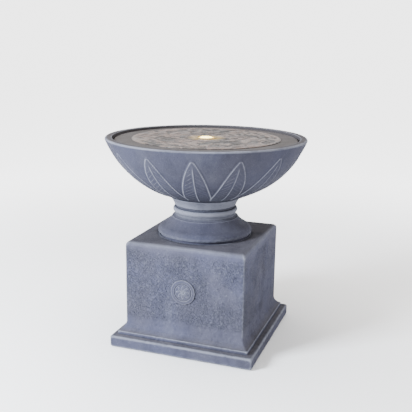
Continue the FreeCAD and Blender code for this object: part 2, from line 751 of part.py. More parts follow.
def make_connector():
    """Bulkhead connector through the bowl's floor, with its seal, washer, nut and bung."""
    spot = (0, connector_y)
    hole = S.connector_radius + S.connector_hole_gap
    recess_z = spigot_recess_z()
    seal_top = floor_z + S.connector_seal_thickness
    flange_top = seal_top + S.connector_flange_thickness
    washer_z = recess_z - S.connector_seal_thickness
    nut_z = washer_z - S.nut_height
    tail_z = nut_z - S.connector_tail
    seal_radius = S.connector_flange_radius - S.connector_seal_inset
    body = turned("connector_body", [
        (S.connector_bore_radius, tail_z), (S.connector_radius, tail_z),
        (S.connector_radius, seal_top), (S.connector_flange_radius, seal_top),
        (S.connector_flange_radius, flange_top - 1), (S.connector_flange_radius - 1, flange_top),
        (S.connector_bore_radius, flange_top)])
    node(place(body, 0, connector_y, 0))
    node(ring("connector_seal", hole, seal_radius, (floor_z, seal_top), spot))
    node(ring("connector_washer", hole, S.nut_radius, (washer_z, recess_z), spot))
    blank = doc.addObject("Part::Prism", "connector_nut_blank")
    blank.Polygon = 6
    bind(blank, "Circumradius", S.nut_radius)
    bind(blank, "Height", S.nut_height)
    place(blank, 0, connector_y, nut_z)
    thread = rod("connector_nut_thread", S.connector_radius, (nut_z, washer_z), spot)
    node(cut("connector_nut", blank, [thread]))
    bung_z = flange_top - S.bung_depth
    bung_top = flange_top + S.bung_head_height
    bung = turned("cable_bung", [
        (S.bung_bore_radius, bung_z), (S.connector_bore_radius, bung_z),
        (S.connector_bore_radius, flange_top), (S.bung_head_radius, flange_top),
        (S.bung_head_radius - 1.5, bung_top), (S.bung_bore_radius, bung_top)])
    node(place(bung, 0, connector_y, 0))


# ---------------------------------------------------------------- pump motor

housing_x = S.housing_setback
housing_end = housing_x + S.housing_length
housing_y = S.housing_width / 2
housing_z = S.housing_height / 2
wall_x = housing_x + S.housing_wall
bay_y = housing_y - S.housing_wall
bay_z = housing_z - S.housing_wall
can_outer = S.can_radius + S.can_wall
can_end = housing_x + S.can_depth
boss_spots = corners(housing_y - S.boss_inset_y, housing_z - S.boss_inset_z)


def at_pump(thing):
    """Raises an object made about the X axis to the pump's own axis."""
    return place(thing, 0, 0, pump_z)


def on_pump(y, z):
    """A point across the pump, from its axis."""
    return (y, pump_z + z)


def pump_block(name, x, y, z):
    """A box on the pump, with z counted from the pump's axis."""
    return block(name, x, y, (pump_z + z[0], pump_z + z[1]))


def boss_rods(name, radius, span):
    """Rods along X on the four screw positions."""
    return [rod("%s_%d" % (name, index), radius, span, on_pump(y, z), "X")
            for index, (y, z) in enumerate(boss_spots)]


def cup_spots():
    """Places of the four suction cups under the housing."""
    front = housing_x + S.cup_inset_x
    back = housing_end - S.cup_inset_x
    return [(x, y) for x in (front, back) for y in (-S.cup_spread_y, S.cup_spread_y)]


def make_motor_housing():
    """Housing open at the back for potting, with the rotor can and screw bosses inside."""
    shell = at_pump(rounded_bar("housing_shell", S.housing_width, S.housing_height,
                                S.housing_corner, housing_x, S.housing_length))
    bay = pump_block("housing_bay", (wall_x, housing_end + OVERCUT), (-bay_y, bay_y),
                     (-bay_z, bay_z))
    walls = cut("housing_walls", shell, [bay])
    can = rod("housing_can", can_outer, (housing_x, can_end + S.can_end), on_pump(0, 0), "X")
    bosses = boss_rods("housing_boss", S.boss_radius, (housing_x, housing_x + S.boss_length))
    bosses_inside = common("housing_bosses", fuse("housing_boss_rods", bosses), shell)
    full = fuse("housing_full", [walls, can, bosses_inside])
    can_bore = rod("housing_can_bore", S.can_radius, (housing_x - OVERCUT, can_end),
                   on_pump(0, 0), "X")
    screw_end = cover_x + S.screw_length
    pilots = boss_rods("housing_pilot", S.screw_radius, (housing_x - OVERCUT, screw_end))
    underside = pump_z - housing_z
    sockets = [rod("housing_socket_%d" % index, S.cup_stem_radius,
                   (underside - OVERCUT, underside + S.cup_stem_length), spot)
               for index, spot in enumerate(cup_spots())]
    node(cut("motor_housing", full, [can_bore] + pilots + sockets))


def make_stator():
    """U-shaped laminated core: two legs beside the rotor can and a yoke behind it."""
    leg_in = can_outer + S.leg_gap
    leg_out = leg_in + S.leg_thickness
    back = housing_end - S.stator_end_gap
    yoke_x = back - S.yoke_thickness
    tall = (-S.leg_half_height, S.leg_half_height)
    front = wall_x + S.leg_setback
    node(fuse("stator_core", [
        pump_block("stator_leg_left", (front, back), (leg_in, leg_out), tall),
        pump_block("stator_leg_right", (front, back), (-leg_out, -leg_in), tall),
        pump_block("stator_yoke", (yoke_x, back), (-leg_out, leg_out), tall)]))
    make_coils(leg_in, leg_out, (can_end + S.can_end + S.bobbin_end_gap,
                                 yoke_x - S.bobbin_end_gap))


def make_coils(leg_in, leg_out, span):
    """A moulded bobbin and its copper winding on each stator leg, and the resin around them."""
    bobbins = []
    windings = []
    sleeves = []
    wall = S.bobbin_wall
    flange = wall + S.bobbin_flange
    copper = flange - S.winding_inset
    cheek = S.bobbin_flange_thickness
    between = (span[0] + cheek, span[1] - cheek)
    for side, low, high in (("left", leg_in, leg_out), ("right", -leg_out, -leg_in)):

        def around_leg(name, x, extra):
            reach = S.leg_half_height + extra
            return pump_block("%s_%s" % (name, side), x, (low - extra, high + extra),
                              (-reach, reach))

        bobbins.append(cut("bobbin_" + side, fuse("bobbin_blank_" + side, [
            around_leg("bobbin_barrel", span, wall),
            around_leg("bobbin_front_cheek", (span[0], between[0]), flange),
            around_leg("bobbin_back_cheek", (between[1], span[1]), flange)]),
            [around_leg("bobbin_window", span, 0)]))
        windings.append(cut("winding_" + side, around_leg("winding_coil", between, copper),
                            [around_leg("winding_window", between, wall)]))
        sleeves.append(around_leg("potting_sleeve", span, flange))
    node(group("coil_bobbins", bobbins))
    node(group("coil_windings", windings))
    make_potting(sleeves)


def make_potting(sleeves):
    """Cast resin that fills the housing around the stator, the coils and the rotor can."""
    fill = pump_block("potting_fill", (wall_x, housing_end - S.potting_setback), (-bay_y, bay_y),
                      (-bay_z, bay_z))
    can = rod("potting_can", can_outer, (wall_x, can_end + S.can_end), on_pump(0, 0), "X")
    bosses = boss_rods("potting_boss", S.boss_radius, (wall_x, housing_x + S.boss_length))
    stator = doc.getObject("stator_core")
    node(cut("potting", fill, [can, stator] + sleeves + bosses))


# ---------------------------------------------------------------- rotor

magnet_x = housing_x + S.magnet_setback
magnet_end = magnet_x + S.magnet_length
plate_x = -S.plate_offset
blade_x = plate_x - S.blade_height
bush_end = blade_x - S.end_float
nose_x = -S.volute_nose
cover_x = housing_x - S.volute_seal_thickness - S.cover_flange_thickness


def make_shaft_and_bushes():
    """Fixed ceramic shaft held by a bush in the can's end and a bush in the chamber's front."""
    shaft = S.shaft_radius
    bore = shaft + S.running_gap
    axis = on_pump(0, 0)
    node(ring("rear_bush", shaft, S.can_radius, (magnet_end + S.end_float, can_end), axis, "X"))
    node(ring("front_bush", shaft, S.bush_radius, (nose_x, bush_end), axis, "X"))
    node(rod("rotor_shaft", shaft, (nose_x + 1, can_end - 1), axis, "X"))
    node(ring("rotor_magnet", bore, S.magnet_radius, (magnet_x, magnet_end), axis, "X"))


def make_impeller():
    """Straight-bladed impeller, built along Z from its front and laid along X."""
    bore = S.shaft_radius + S.running_gap
    plate = S.blade_height
    plate_end = plate + S.impeller_plate
    hub_end = magnet_x - blade_x
    body = doc.addObject("PartDesign::Body", "impeller")
    profile = sketch_on(body, "impeller_outline", "XZ_Plane", [[
        (bore, 0), (S.hub_radius, 0), (S.hub_radius, plate), (S.impeller_radius, plate),
        (S.impeller_radius, plate_end), (S.hub_radius, plate_end), (S.hub_radius, hub_end),
        (bore, hub_end)]])
    hub = body.newObject("PartDesign::Revolution", "impeller_hub")
    hub.Profile = (profile, [""])
    hub.ReferenceAxis = (profile, ["V_Axis"])
    hub.Angle = 360
    half = S.blade_thickness / 2
    root = (bore + S.hub_radius) / 2
    tip = S.impeller_radius - S.running_gap
    outline = sketch_on(body, "blade_outline", "XY_Plane", [[
        (root, -half), (tip, -half), (tip, half), (root, half)]])
    blade = body.newObject("PartDesign::Pad", "blade")
    blade.Profile = (outline, [""])
    bind(blade, "Length", plate)
    blades = body.newObject("PartDesign::PolarPattern", "blades")
    blades.Originals = [blade]
    blades.Axis = (outline, ["N_Axis"])
    blades.Angle = 360
    bind(blades, "Occurrences", S.blade_count)
    body.Tip = blades
    node(place(body, blade_x, 0, pump_z, turn=ALONG["X"]))


# ---------------------------------------------------------------- pump cover

def make_volute_cover():
    """Pump chamber with its screwed flange, inlet, bush holder and upright outlet."""
    rear = housing_x - S.volute_seal_thickness
    outer = S.volute_radius + S.volute_wall
    axis = on_pump(0, 0)
    outlet_top = pump_z + housing_z + S.outlet_height
    drum = rod("cover_drum", outer, (nose_x, rear), axis, "X")
    inset = S.cover_flange_inset
    flange = at_pump(rounded_bar("cover_flange", S.housing_width - 2 * inset,
                                 S.housing_height - 2 * inset, S.housing_corner - inset,
                                 cover_x, S.cover_flange_thickness))
    pipe = rod("cover_outlet", S.outlet_radius, (pump_z + S.volute_radius / 2, outlet_top))
    body = fuse("cover_body", [drum, flange, pipe])
    chamber = rod("cover_chamber", S.volute_radius, (nose_x + S.volute_front, rear + OVERCUT),
                  axis, "X")
    pipe_bore = rod("cover_outlet_bore", S.outlet_bore_radius, (pump_z, outlet_top + OVERCUT))
    inlet = rod("cover_inlet", S.inlet_radius, (nose_x - OVERCUT, nose_x + S.volute_front + OVERCUT),
                axis, "X")
    holes = boss_rods("cover_hole", S.screw_radius + S.screw_hole_gap,
                      (cover_x - OVERCUT, rear + OVERCUT))
    opened = cut("cover_opened", body, [chamber, pipe_bore, inlet] + holes)
    node(cut("volute_cover", fuse("cover_with_spider", [opened] + make_spider()),
             [rod("cover_bush_seat", S.bush_radius, (nose_x - OVERCUT, 0), axis, "X")]))


def make_spider():
    """Hub for the front bush, on three arms across the inlet."""
    span = (nose_x, nose_x + S.volute_front)
    parts = [rod("spider_hub", S.spider_radius, span, on_pump(0, 0), "X")]
    arm_end = S.inlet_radius + S.volute_wall / 2
    for index, angle in enumerate((90, 210, 330)):
        arm = doc.addObject("Part::Box", "spider_arm_%d" % index)
        bind(arm, "Length", S.volute_front)
        bind(arm, "Width", arm_end)
        bind(arm, "Height", S.spider_arm)
        across = math.radians(angle)
        half = S.spider_arm / 2
        place(arm, nose_x, half * math.sin(across), pump_z - half * math.cos(across),
              turn=Rotation(Vector(1, 0, 0), angle))
        parts.append(arm)
    return parts


def make_cover_fixings():
    """Seal ring and four screws that hold the cover to the motor housing."""
    rear = housing_x - S.volute_seal_thickness
    node(ring("volute_seal", S.volute_radius, S.volute_radius + S.volute_seal_width,
              (rear, housing_x), on_pump(0, 0), "X"))
    heads = boss_rods("screw_head", S.screw_head_radius, (cover_x - S.screw_head_height, cover_x))
    shanks = boss_rods("screw_shank", S.screw_radius, (cover_x, cover_x + S.screw_length))
    node(group("cover_screws", [fuse("cover_screw_%d" % index, pair)
                                for index, pair in enumerate(zip(heads, shanks))]))


# ---------------------------------------------------------------- strainer

strainer_x = -S.strainer_nose
strainer_end = nose_x + S.strainer_overlap
cage_x = strainer_x + S.strainer_wall
cage_end = strainer_end - S.strainer_wall
cage_y = S.strainer_width / 2 - S.strainer_wall
cage_z = S.strainer_height / 2 - S.strainer_wall


def make_strainer():
    """Slotted cage that slips over the pump chamber, with ports in its front."""
    shell = at_pump(rounded_bar("strainer_shell", S.strainer_width, S.strainer_height,
                                S.strainer_corner, strainer_x, strainer_end - strainer_x))
    axis = on_pump(0, 0)
    tools = [
        pump_block("strainer_bay", (cage_x, cage_end), (-cage_y, cage_y), (-cage_z, cage_z)),
        rod("strainer_mouth", S.volute_radius + S.volute_wall + S.strainer_fit,
            (cage_end - OVERCUT, strainer_end + OVERCUT), axis, "X"),
        rod("strainer_pivot", S.dial_pin_radius + S.running_gap,
            (strainer_x - OVERCUT, cage_x + OVERCUT), axis, "X")]
    length = (cage_x + S.slot_margin, cage_end - S.slot_margin)
    tools += slots("side", length, cage_z, S.strainer_width, "Z")
    tools += slots("top", length, cage_y, S.strainer_height, "Y")
    tools += ports("strainer_port", (strainer_x - OVERCUT, cage_x + OVERCUT))
    node(cut("strainer", shell, tools))


def slots(name, length, room, width, direction):
    """Slots right across the cage, spaced along Y or Z about its middle."""
    half = width / 2 + OVERCUT
    reach = S.slot_width / 2
    count = int((room.value - S.slot_margin.value) / S.slot_pitch.value)
    cutters = []
    for index in range(-count, count + 1):
        place_at = S.slot_pitch * index
        thin = (place_at - reach, place_at + reach)
        wide = (-half, half)
        y, z = (wide, thin) if direction == "Z" else (thin, wide)
        cutters.append(pump_block("strainer_%s_slot_%d" % (name, index + count), length, y, z))
    return cutters


def ports(name, span):
    """Round ports about the pump's axis."""
    spots = around(int(S.port_count.value), S.port_circle, 45)
    return [rod("%s_%d" % (name, index), S.port_radius, span, on_pump(y, z), "X")
            for index, (y, z, angle) in enumerate(spots)]


def make_prefilter():
    """Sponge block inside the strainer, behind the dial's catch."""
    gap = S.sponge_gap
    front = cage_x + S.dial_gap + S.dial_catch_length + gap
    node(pump_block("prefilter", (front, nose_x - gap), (gap - cage_y, cage_y - gap),
                    (gap - cage_z, cage_z - gap)))


def make_flow_dial():
    """Dial on the strainer's front: turning it covers the ports."""
    back = strainer_x - S.dial_gap
    front = back - S.dial_thickness
    catch = cage_x + S.dial_gap
    catch_end = catch + S.dial_catch_length
    axis = on_pump(0, 0)
    body = fuse("dial_body", [
        rod("dial_disc", S.dial_radius, (front, back), axis, "X"),
        rod("dial_pin", S.dial_pin_radius, (front, catch_end), axis, "X"),
        rod("dial_catch", S.dial_catch_radius, (catch, catch_end), axis, "X"),
        pump_block("dial_grip", (front - S.dial_grip_depth, front),
                   (-S.dial_grip_width / 2, S.dial_grip_width / 2),
                   (-S.dial_grip_height / 2, S.dial_grip_height / 2))])
    node(cut("flow_dial", body, ports("dial_port", (front - OVERCUT, back + OVERCUT))))


# ---------------------------------------------------------------- cups and glands

def make_suction_cups():
    """Suction cups between the housing and the bowl's floor."""
    cups = []
    neck_z = S.cup_height * 0.7
    lip = 1.5               # rubber lip that meets the floor
    for index, (x, y) in enumerate(cup_spots()):
        cup = turned("suction_cup_%d" % index, [
            (0, S.cup_height * 0.3), (S.cup_radius - lip, 0), (S.cup_radius, 0),
            (S.cup_radius, 1), (S.cup_neck_radius, neck_z), (S.cup_neck_radius, S.cup_height),
            (S.cup_stem_radius, S.cup_height),
            (S.cup_stem_radius, S.cup_height + S.cup_stem_length),
            (0, S.cup_height + S.cup_stem_length)])
        cups.append(place(cup, x, y, floor_z))
    node(group("suction_cups", cups))


def make_cable_gland():
    """Gland in the resin at the back of the pump, where its lead comes out."""
    start = housing_end - S.potting_setback
    shoulder = start + S.gland_base_length
    end = shoulder + S.gland_nut_length
    gland = turned("cable_gland", [
        (S.gland_bore_radius, start), (S.gland_base_radius, start),
        (S.gland_base_radius, shoulder), (S.gland_nut_radius, shoulder),
        (S.gland_nut_radius, end - 2), (S.gland_nut_radius - 1.5, end),
        (S.gland_bore_radius, end)])
    node(place(gland, 0, 0, pump_z, turn=ALONG["X"]))


# ---------------------------------------------------------------- riser and light ring

riser_z = pump_z + housing_z + S.riser_start
riser_top = light_z - S.riser_clearance
riser_radius = S.outlet_radius + S.riser_wall


def make_riser():
    """Riser tube on the pump's outlet, with a clip at each end."""
    node(ring("riser_tube", S.outlet_radius, riser_radius, (riser_z, riser_top)))
    low = riser_z + S.clip_inset
    high = riser_top - S.clip_inset - S.clip_height
    outside = riser_radius + S.clip_wall
    clips = []
    for name, bottom in (("lower", low), ("upper", high)):
        span = (bottom, bottom + S.clip_height)
        ear = block("clip_ear_" + name, (-S.clip_wall * 1.5, S.clip_wall * 1.5),
                    (riser_radius, outside + S.clip_height * 0.6), span)
        band = ring("clip_band_" + name, riser_radius, outside, span)
        bore = rod("clip_bore_" + name, riser_radius, span)
        clips.append(cut("clip_" + name, fuse("clip_blank_" + name, [band, ear]), [bore]))
    node(group("riser_clips", clips))


def make_nozzle():
    """Nozzle: a spigot in the riser, a shoulder under the light ring and a barrel through it."""
    spigot_z = riser_top - S.nozzle_spigot
    top = light_top + S.nozzle_proud
    node(turned("nozzle", [
        (S.nozzle_bore_radius, spigot_z), (S.outlet_radius, spigot_z),
        (S.outlet_radius, riser_top), (S.nozzle_collar_radius, riser_top),
        (S.nozzle_collar_radius, light_z), (S.nozzle_radius, light_z),
        (S.nozzle_radius, top - 1), (S.nozzle_radius - 1, top), (S.nozzle_bore_radius, top)]))


def make_light_ring():
    """Ring-shaped light: housing, circuit board, emitters, lens and the gland of its lead."""
    base_top = light_z + S.light_base
    inner = S.nozzle_radius + S.light_wall
    outer = S.light_radius - S.light_wall
    board_top = base_top + S.board_thickness
    node(turned("led_housing", [
        (S.nozzle_radius, light_z), (S.light_radius, light_z), (S.light_radius, light_top),
        (outer, light_top), (outer, base_top), (inner, base_top), (inner, light_top),
        (S.nozzle_radius, light_top)]))
    node(ring("led_board", inner, outer, (base_top, board_top)))
    node(ring("led_lens", inner, outer, (light_top - S.lens_thickness, light_top)))
    middle = (inner + outer) / 2
    half = S.emitter_side / 2
    emitters = []
    for index, (x, y, angle) in enumerate(around(int(S.emitter_count.value), middle)):
        across = math.radians(angle)
        chip = block("led_emitter_%d" % index, (0, S.emitter_side), (0, S.emitter_side),
                     (board_top, board_top + S.emitter_height))
        place(chip, x - half * math.cos(across) + half * math.sin(across),
              y - half * math.sin(across) - half * math.cos(across), board_top,
              turn=Rotation(Vector(0, 0, 1), angle))
        emitters.append(chip)
    node(group("led_emitters", emitters))
    node(ring("led_gland", S.light_gland_bore_radius, S.light_gland_radius,
              (light_z - S.light_gland_length, light_z), (0, middle)))


# ---------------------------------------------------------------- build, check and write

def check(things):
    """Stops if any object of the document failed or any piece has no sound shape."""
    for thing in doc.Objects:
        if "Invalid" in thing.State or "Error" in thing.State:
            raise RuntimeError("%s failed: %s" % (thing.Label, thing.State))
    for thing in things:
        shape = thing.Shape
        if shape.isNull() or not shape.isValid() or not shape.Solids:
            raise RuntimeError("%s has no valid solid" % thing.Label)


def main():
    """Makes every piece, recomputes, checks and writes one STEP file for each."""
    make_plinth()
    make_foot_pads()
    make_rear_grommet()
    make_seat_pads()
    make_foot()
    make_bowl()
    make_lid_pads()
    make_lid()
    make_lid_grommet()
    make_connector()
    make_motor_housing()
    make_stator()
    make_shaft_and_bushes()
    make_impeller()
    make_volute_cover()
    make_cover_fixings()
    make_strainer()
    make_prefilter()
    make_flow_dial()
    make_suction_cups()
    make_cable_gland()
    make_riser()
    make_nozzle()
    make_light_ring()
    doc.recompute()
    check(NODES)
    os.makedirs("parts", exist_ok=True)
    for thing in NODES:
        shape = thing.Shape
        shape.exportStep("parts/%s.step" % thing.Label)
        box = shape.BoundBox
        print("%-18s %2d solids %12.1f mm3  x %7.1f %7.1f  y %7.1f %7.1f  z %6.1f %6.1f" % (
            thing.Label, len(shape.Solids), shape.Volume, box.XMin, box.XMax, box.YMin, box.YMax,
            box.ZMin, box.ZMax))


main()
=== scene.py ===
"""Bowl fountain: castings, carved leaves, water and finishes around the packed frame.

A wide bowl with carved leaves stands on a turned foot and a square moulded plinth. Its lid hides a
submersible pump, whose nozzle rises through a ring light in the lid's middle.
"""

import math

import bpy
import numpy as np
from mathutils import Euler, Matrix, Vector


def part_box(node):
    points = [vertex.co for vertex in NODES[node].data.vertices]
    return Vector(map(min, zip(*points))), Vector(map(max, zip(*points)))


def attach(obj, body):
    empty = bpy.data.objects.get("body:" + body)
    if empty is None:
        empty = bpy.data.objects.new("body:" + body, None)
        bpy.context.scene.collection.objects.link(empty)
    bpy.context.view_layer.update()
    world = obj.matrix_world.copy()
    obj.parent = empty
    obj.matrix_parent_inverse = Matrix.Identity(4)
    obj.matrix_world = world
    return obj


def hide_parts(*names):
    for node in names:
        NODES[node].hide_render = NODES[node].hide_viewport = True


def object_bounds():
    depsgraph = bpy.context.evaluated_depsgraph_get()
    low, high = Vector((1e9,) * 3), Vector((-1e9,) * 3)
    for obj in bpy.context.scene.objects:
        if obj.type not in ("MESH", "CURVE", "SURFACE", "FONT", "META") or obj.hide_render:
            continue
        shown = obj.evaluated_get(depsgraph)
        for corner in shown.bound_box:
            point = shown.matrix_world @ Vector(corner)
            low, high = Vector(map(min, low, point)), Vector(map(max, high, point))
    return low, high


bl_info = {
    "name": "Bowl Fountain",
    "version": (1, 0, 0),
    "blender": (4, 5, 0),
    "location": "View3D > Sidebar > Fountain",
    "description": "Builds the castings, water and finishes of a bowl fountain",
    "category": "Add Mesh",
}

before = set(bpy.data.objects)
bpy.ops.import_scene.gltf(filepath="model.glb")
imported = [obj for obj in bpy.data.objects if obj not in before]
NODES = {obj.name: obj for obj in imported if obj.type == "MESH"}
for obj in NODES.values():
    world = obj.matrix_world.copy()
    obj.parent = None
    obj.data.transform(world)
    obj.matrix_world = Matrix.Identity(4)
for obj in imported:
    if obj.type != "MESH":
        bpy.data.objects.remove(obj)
CAD_BOUNDS = [list(corner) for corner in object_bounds()]

PLINTH_LOW, PLINTH_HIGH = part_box("plinth")
FOOT_LOW, FOOT_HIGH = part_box("foot")
BOWL_LOW, BOWL_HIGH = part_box("bowl")
LID_LOW, LID_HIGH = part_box("lid")
CONNECTOR_LOW, CONNECTOR_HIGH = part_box("connector_body")
LEAD_EXIT_LOW, LEAD_EXIT_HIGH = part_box("rear_grommet")
LENS_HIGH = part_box("led_lens")[1]
GROMMET_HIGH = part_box("lid_grommet")[1]
PAD_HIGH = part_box("foot_pads")[1]
LID_PADS_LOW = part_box("lid_pads")[0]

RELIEF_SEED = (3.1, 1.7, 2.3)
SHARP_TURN = math.radians(20)


# ---------------------------------------------------------------- settings

def size(label, text, default):
    """A length in metres."""
    return bpy.props.FloatProperty(name=label, description=text, default=default, min=0.0,
                                   unit="LENGTH", precision=4)


def turn(label, text, degrees):
    """An angle."""
    return bpy.props.FloatProperty(name=label, description=text, default=math.radians(degrees),
                                   subtype="ANGLE")


def share(label, text, default, top=1.0):
    """A plain number from nought."""
    return bpy.props.FloatProperty(name=label, description=text, default=default, min=0.0, max=top)


def count(label, text, default):
    """A whole number."""
    return bpy.props.IntProperty(name=label, description=text, default=default, min=1)


def colour(label, text, default):
    """A colour."""
    return bpy.props.FloatVectorProperty(name=label, description=text, default=default, size=3,
                                         subtype="COLOR", min=0.0, max=1.0)


class FountainPlinthSettings(bpy.types.PropertyGroup):
    """Sizes of the square plinth and its medallion."""

    body_width: size("Body width", "Square body, face to face", 0.341)
    wall: size("Wall", "Side walls of the hollow body", 0.014)
    corner_round: size("Corner round", "Round on the upright corners", 0.0045)
    top_round: size("Top round", "Round along the top edges", 0.012)
    slab_height: size("Slab height", "Base slab", 0.032)
    slab_round: size("Slab round", "Round along the slab's top edge", 0.005)
    slab_foot_round: size("Slab foot round", "Round along the slab's lower edge", 0.004)
    lip_projection: size("Fascia projection", "Fascia beyond the body", 0.018)
    lip_height: size("Fascia height", "Fascia above the slab", 0.009)
    lip_round: size("Fascia round", "Round along the fascia's top edge", 0.0025)
    weather_fall: size("Weather fall", "Fall of the slab's sloping top", 0.002)
    cove_rise: size("Cove rise", "Hollow moulding between fascia and body", 0.024)
    cove_radius: size("Cove radius", "Hollow moulding", 0.034)
    seat_radius: size("Seat radius", "Round seat sunk into the top", 0.1286)
    seat_depth: size("Seat depth", "Round seat sunk into the top", 0.008)
    deck_thickness: size("Deck thickness", "Top of the plinth below the seat", 0.014)
    deck_hole_radius: size("Deck hole", "Opening for the leads", 0.060)
    hammer_depth: size("Hammer depth", "Depth of the dimpled faces", 0.0017)
    hammer_spacing: size("Hammer spacing", "Distance between dimples", 0.0085)
    medallion_height: size("Medallion height", "Centre above the ground", 0.178)
    medallion_radius: size("Medallion radius", "Outside of its raised ring", 0.034)
    medallion_ring: size("Medallion ring", "Width of its raised ring", 0.009)
    medallion_disc: size("Medallion disc", "Radius of the disc inside the ring", 0.0225)
    medallion_relief: size("Medallion relief", "Proud of the face", 0.0025)
    petals: count("Petals", "Petals of the medallion's rosette", 8)


class FountainFootSettings(bpy.types.PropertyGroup):
    """Sizes of the turned foot."""

    seat_radius: size("Seat radius", "Part that sits in the plinth", 0.128)
    seat_height: size("Seat height", "Seat to the flange", 0.013)
    flange_height: size("Flange height", "Edge of the widest moulding", 0.005)
    flange_swell: size("Flange swell", "Rounded part of the ogee", 0.024)
    ogee_hollow: size("Ogee hollow", "Hollow part of the ogee", 0.090)
    arris_radius: size("Arris radius", "Sharp edge below the grooves", 0.0945)
    arris_drop: size("Arris drop", "Sharp edge below the foot's top", 0.058)
    groove_radius: size("Groove radius", "Lower groove", 0.087)
    torus_radius: size("Torus radius", "Where the half-round ring starts and ends", 0.0885)
    torus_height: size("Torus height", "Half-round ring", 0.014)
    torus_drop: size("Torus drop", "Top of the half-round ring below the foot's top", 0.031)
    torus_swell: size("Torus swell", "Half-round ring", 0.00875)
    neck_radius: size("Neck radius", "Upper groove", 0.084)
    collar_radius: size("Collar radius", "Collar under the bowl", 0.101)
    collar_edge: size("Collar edge", "Upright edge of the collar", 0.003)
    collar_hollow: size("Collar hollow", "Hollow below the collar", 0.045)
    bore_radius: size("Bore radius", "Upper bore", 0.072)
    skirt_radius: size("Skirt radius", "Lower bore", 0.112)
    spigot_radius: size("Spigot radius", "Ring that locates the bowl", 0.080)
    spigot_height: size("Spigot height", "Ring that locates the bowl", 0.0045)


class FountainBowlSettings(bpy.types.PropertyGroup):
    """Sizes of the bowl and its carved leaves."""

    rim_width: size("Rim width", "Flat land of the rim", 0.021)
    rim_round: size("Rim round", "Outer edge of the rim", 0.005)
    rim_inner_round: size("Inner round", "Inner edge of the rim", 0.002)
    rim_depth: size("Rim depth", "Upright part of the inside wall", 0.022)
    seat_radius: size("Seat radius", "Flat underside", 0.103)
    splay_radius: size("Splay radius", "End of the flat cone above the underside", 0.135)
    splay_rise: size("Splay rise", "Height of that cone", 0.015)
    curve_radius: size("Curve radius", "Outside curve of the bowl", 0.268)
    wall: size("Wall", "Wall of the bowl", 0.014)
    floor: size("Floor", "Floor of the bowl", 0.016)
    floor_inset: size("Floor inset", "Inside floor edge, in from the seat's edge", 0.008)
    recess_radius: size("Recess radius", "Recess for the foot's spigot", 0.0805)
    recess_depth: size("Recess depth", "Recess for the foot's spigot", 0.005)
    lead_hole_radius: size("Lead hole", "Hole for the lead connector", 0.0134)
    lug_reach: size("Ledge reach", "Lid's ledges, in from the inside wall", 0.027)
    lug_width: size("Ledge width", "Lid's ledges", 0.030)
    lug_height: size("Ledge height", "Lid's ledges", 0.014)
    leaves: count("Leaves", "Carved leaves around the bowl", 14)
    first_leaf: turn("First leaf", "Turn of one leaf from the front towards the right", 12.3)
    leaf_drop: size("Leaf drop", "Leaf tips below the rim", 0.024)
    leaf_width: share("Leaf width", "Half-width of a leaf near its tip, per metre", 0.60, 4.0)
    leaf_taper: size("Leaf taper", "Tip to the widest part of a leaf", 0.155)
    leaf_relief: size("Leaf relief", "Leaf above the ground", 0.0014)
    ridge_relief: size("Ridge relief", "Leaf's edge and rib above the leaf", 0.0013)
    vein_spacing: size("Vein spacing", "Between the veins of a leaf", 0.015)


class FountainLidSettings(bpy.types.PropertyGroup):
    """Sizes of the lid and the water on it."""

    edge_round: size("Edge round", "Upper edge of the lid", 0.002)
    border: size("Border", "Border around the raised disc", 0.047)
    disc_rise: size("Disc rise", "Raised disc above the border", 0.0025)
    disc_chamfer: size("Disc chamfer", "Edge of the raised disc", 0.001)
    ripple_depth: size("Ripple depth", "Relief of the raised disc", 0.0038)
    ripple_spacing: size("Ripple spacing", "Between ripples", 0.040)
    mound_radius: size("Mound radius", "Water that wells up over the light", 0.024)
    mound_core: size("Mound core", "Bright middle of that water", 0.0165)


class FountainColours(bpy.types.PropertyGroup):
    """Colours of the fountain's finishes."""

    stone_cool: colour("Stone, cool", "Main colour of the cast stone", (0.049, 0.0515, 0.083))
    stone_warm: colour("Stone, warm", "Warmer clouds in the cast stone", (0.053, 0.0535, 0.077))
    # On the stone castings this colour is a painted warm top-light tint on faces that look up; on
    # the lid it tints the border's clouds.
    stone_top: colour("Stone, level", "Level faces of the cast stone", (0.058, 0.053, 0.054))
    # Dark stains and streaks, and also painted shade in hollows, in grooves, in a ring around the
    # foot's seat and under the bowl.
    stone_stain_and_shade: colour("Stone, dark", "Hollows and stains", (0.014, 0.015, 0.024))
    # Pale wear, dust and flecks, and also a painted highlight on the plinth's dimples and on the
    # foot's upper band.
    stone_pale_and_highlight: colour("Stone, pale", "Worn edges and dust", (0.155, 0.163, 0.200))
    lid_ground: colour("Lid", "Border of the lid", (0.040, 0.036, 0.035))
    # Painted highlight on the crests of the lid's ripples.
    lid_ridge_highlight: colour("Lid ridges", "Wet ridges of the lid", (0.092, 0.070, 0.059))
    lid_blush: colour("Lid patches", "Warm patches of the lid", (0.125, 0.088, 0.076))
    # Painted shade in the troughs and along the slopes of the lid's ripples, and in its creases.
    lid_hollow_shade: colour("Lid hollows", "Wet hollows of the lid", (0.010, 0.008, 0.007))
    glow: colour("Glow", "Light in the water", (1.0, 0.64, 0.10))
    glow_core: colour("Glow core", "Brightest light in the water", (1.0, 0.80, 0.13))


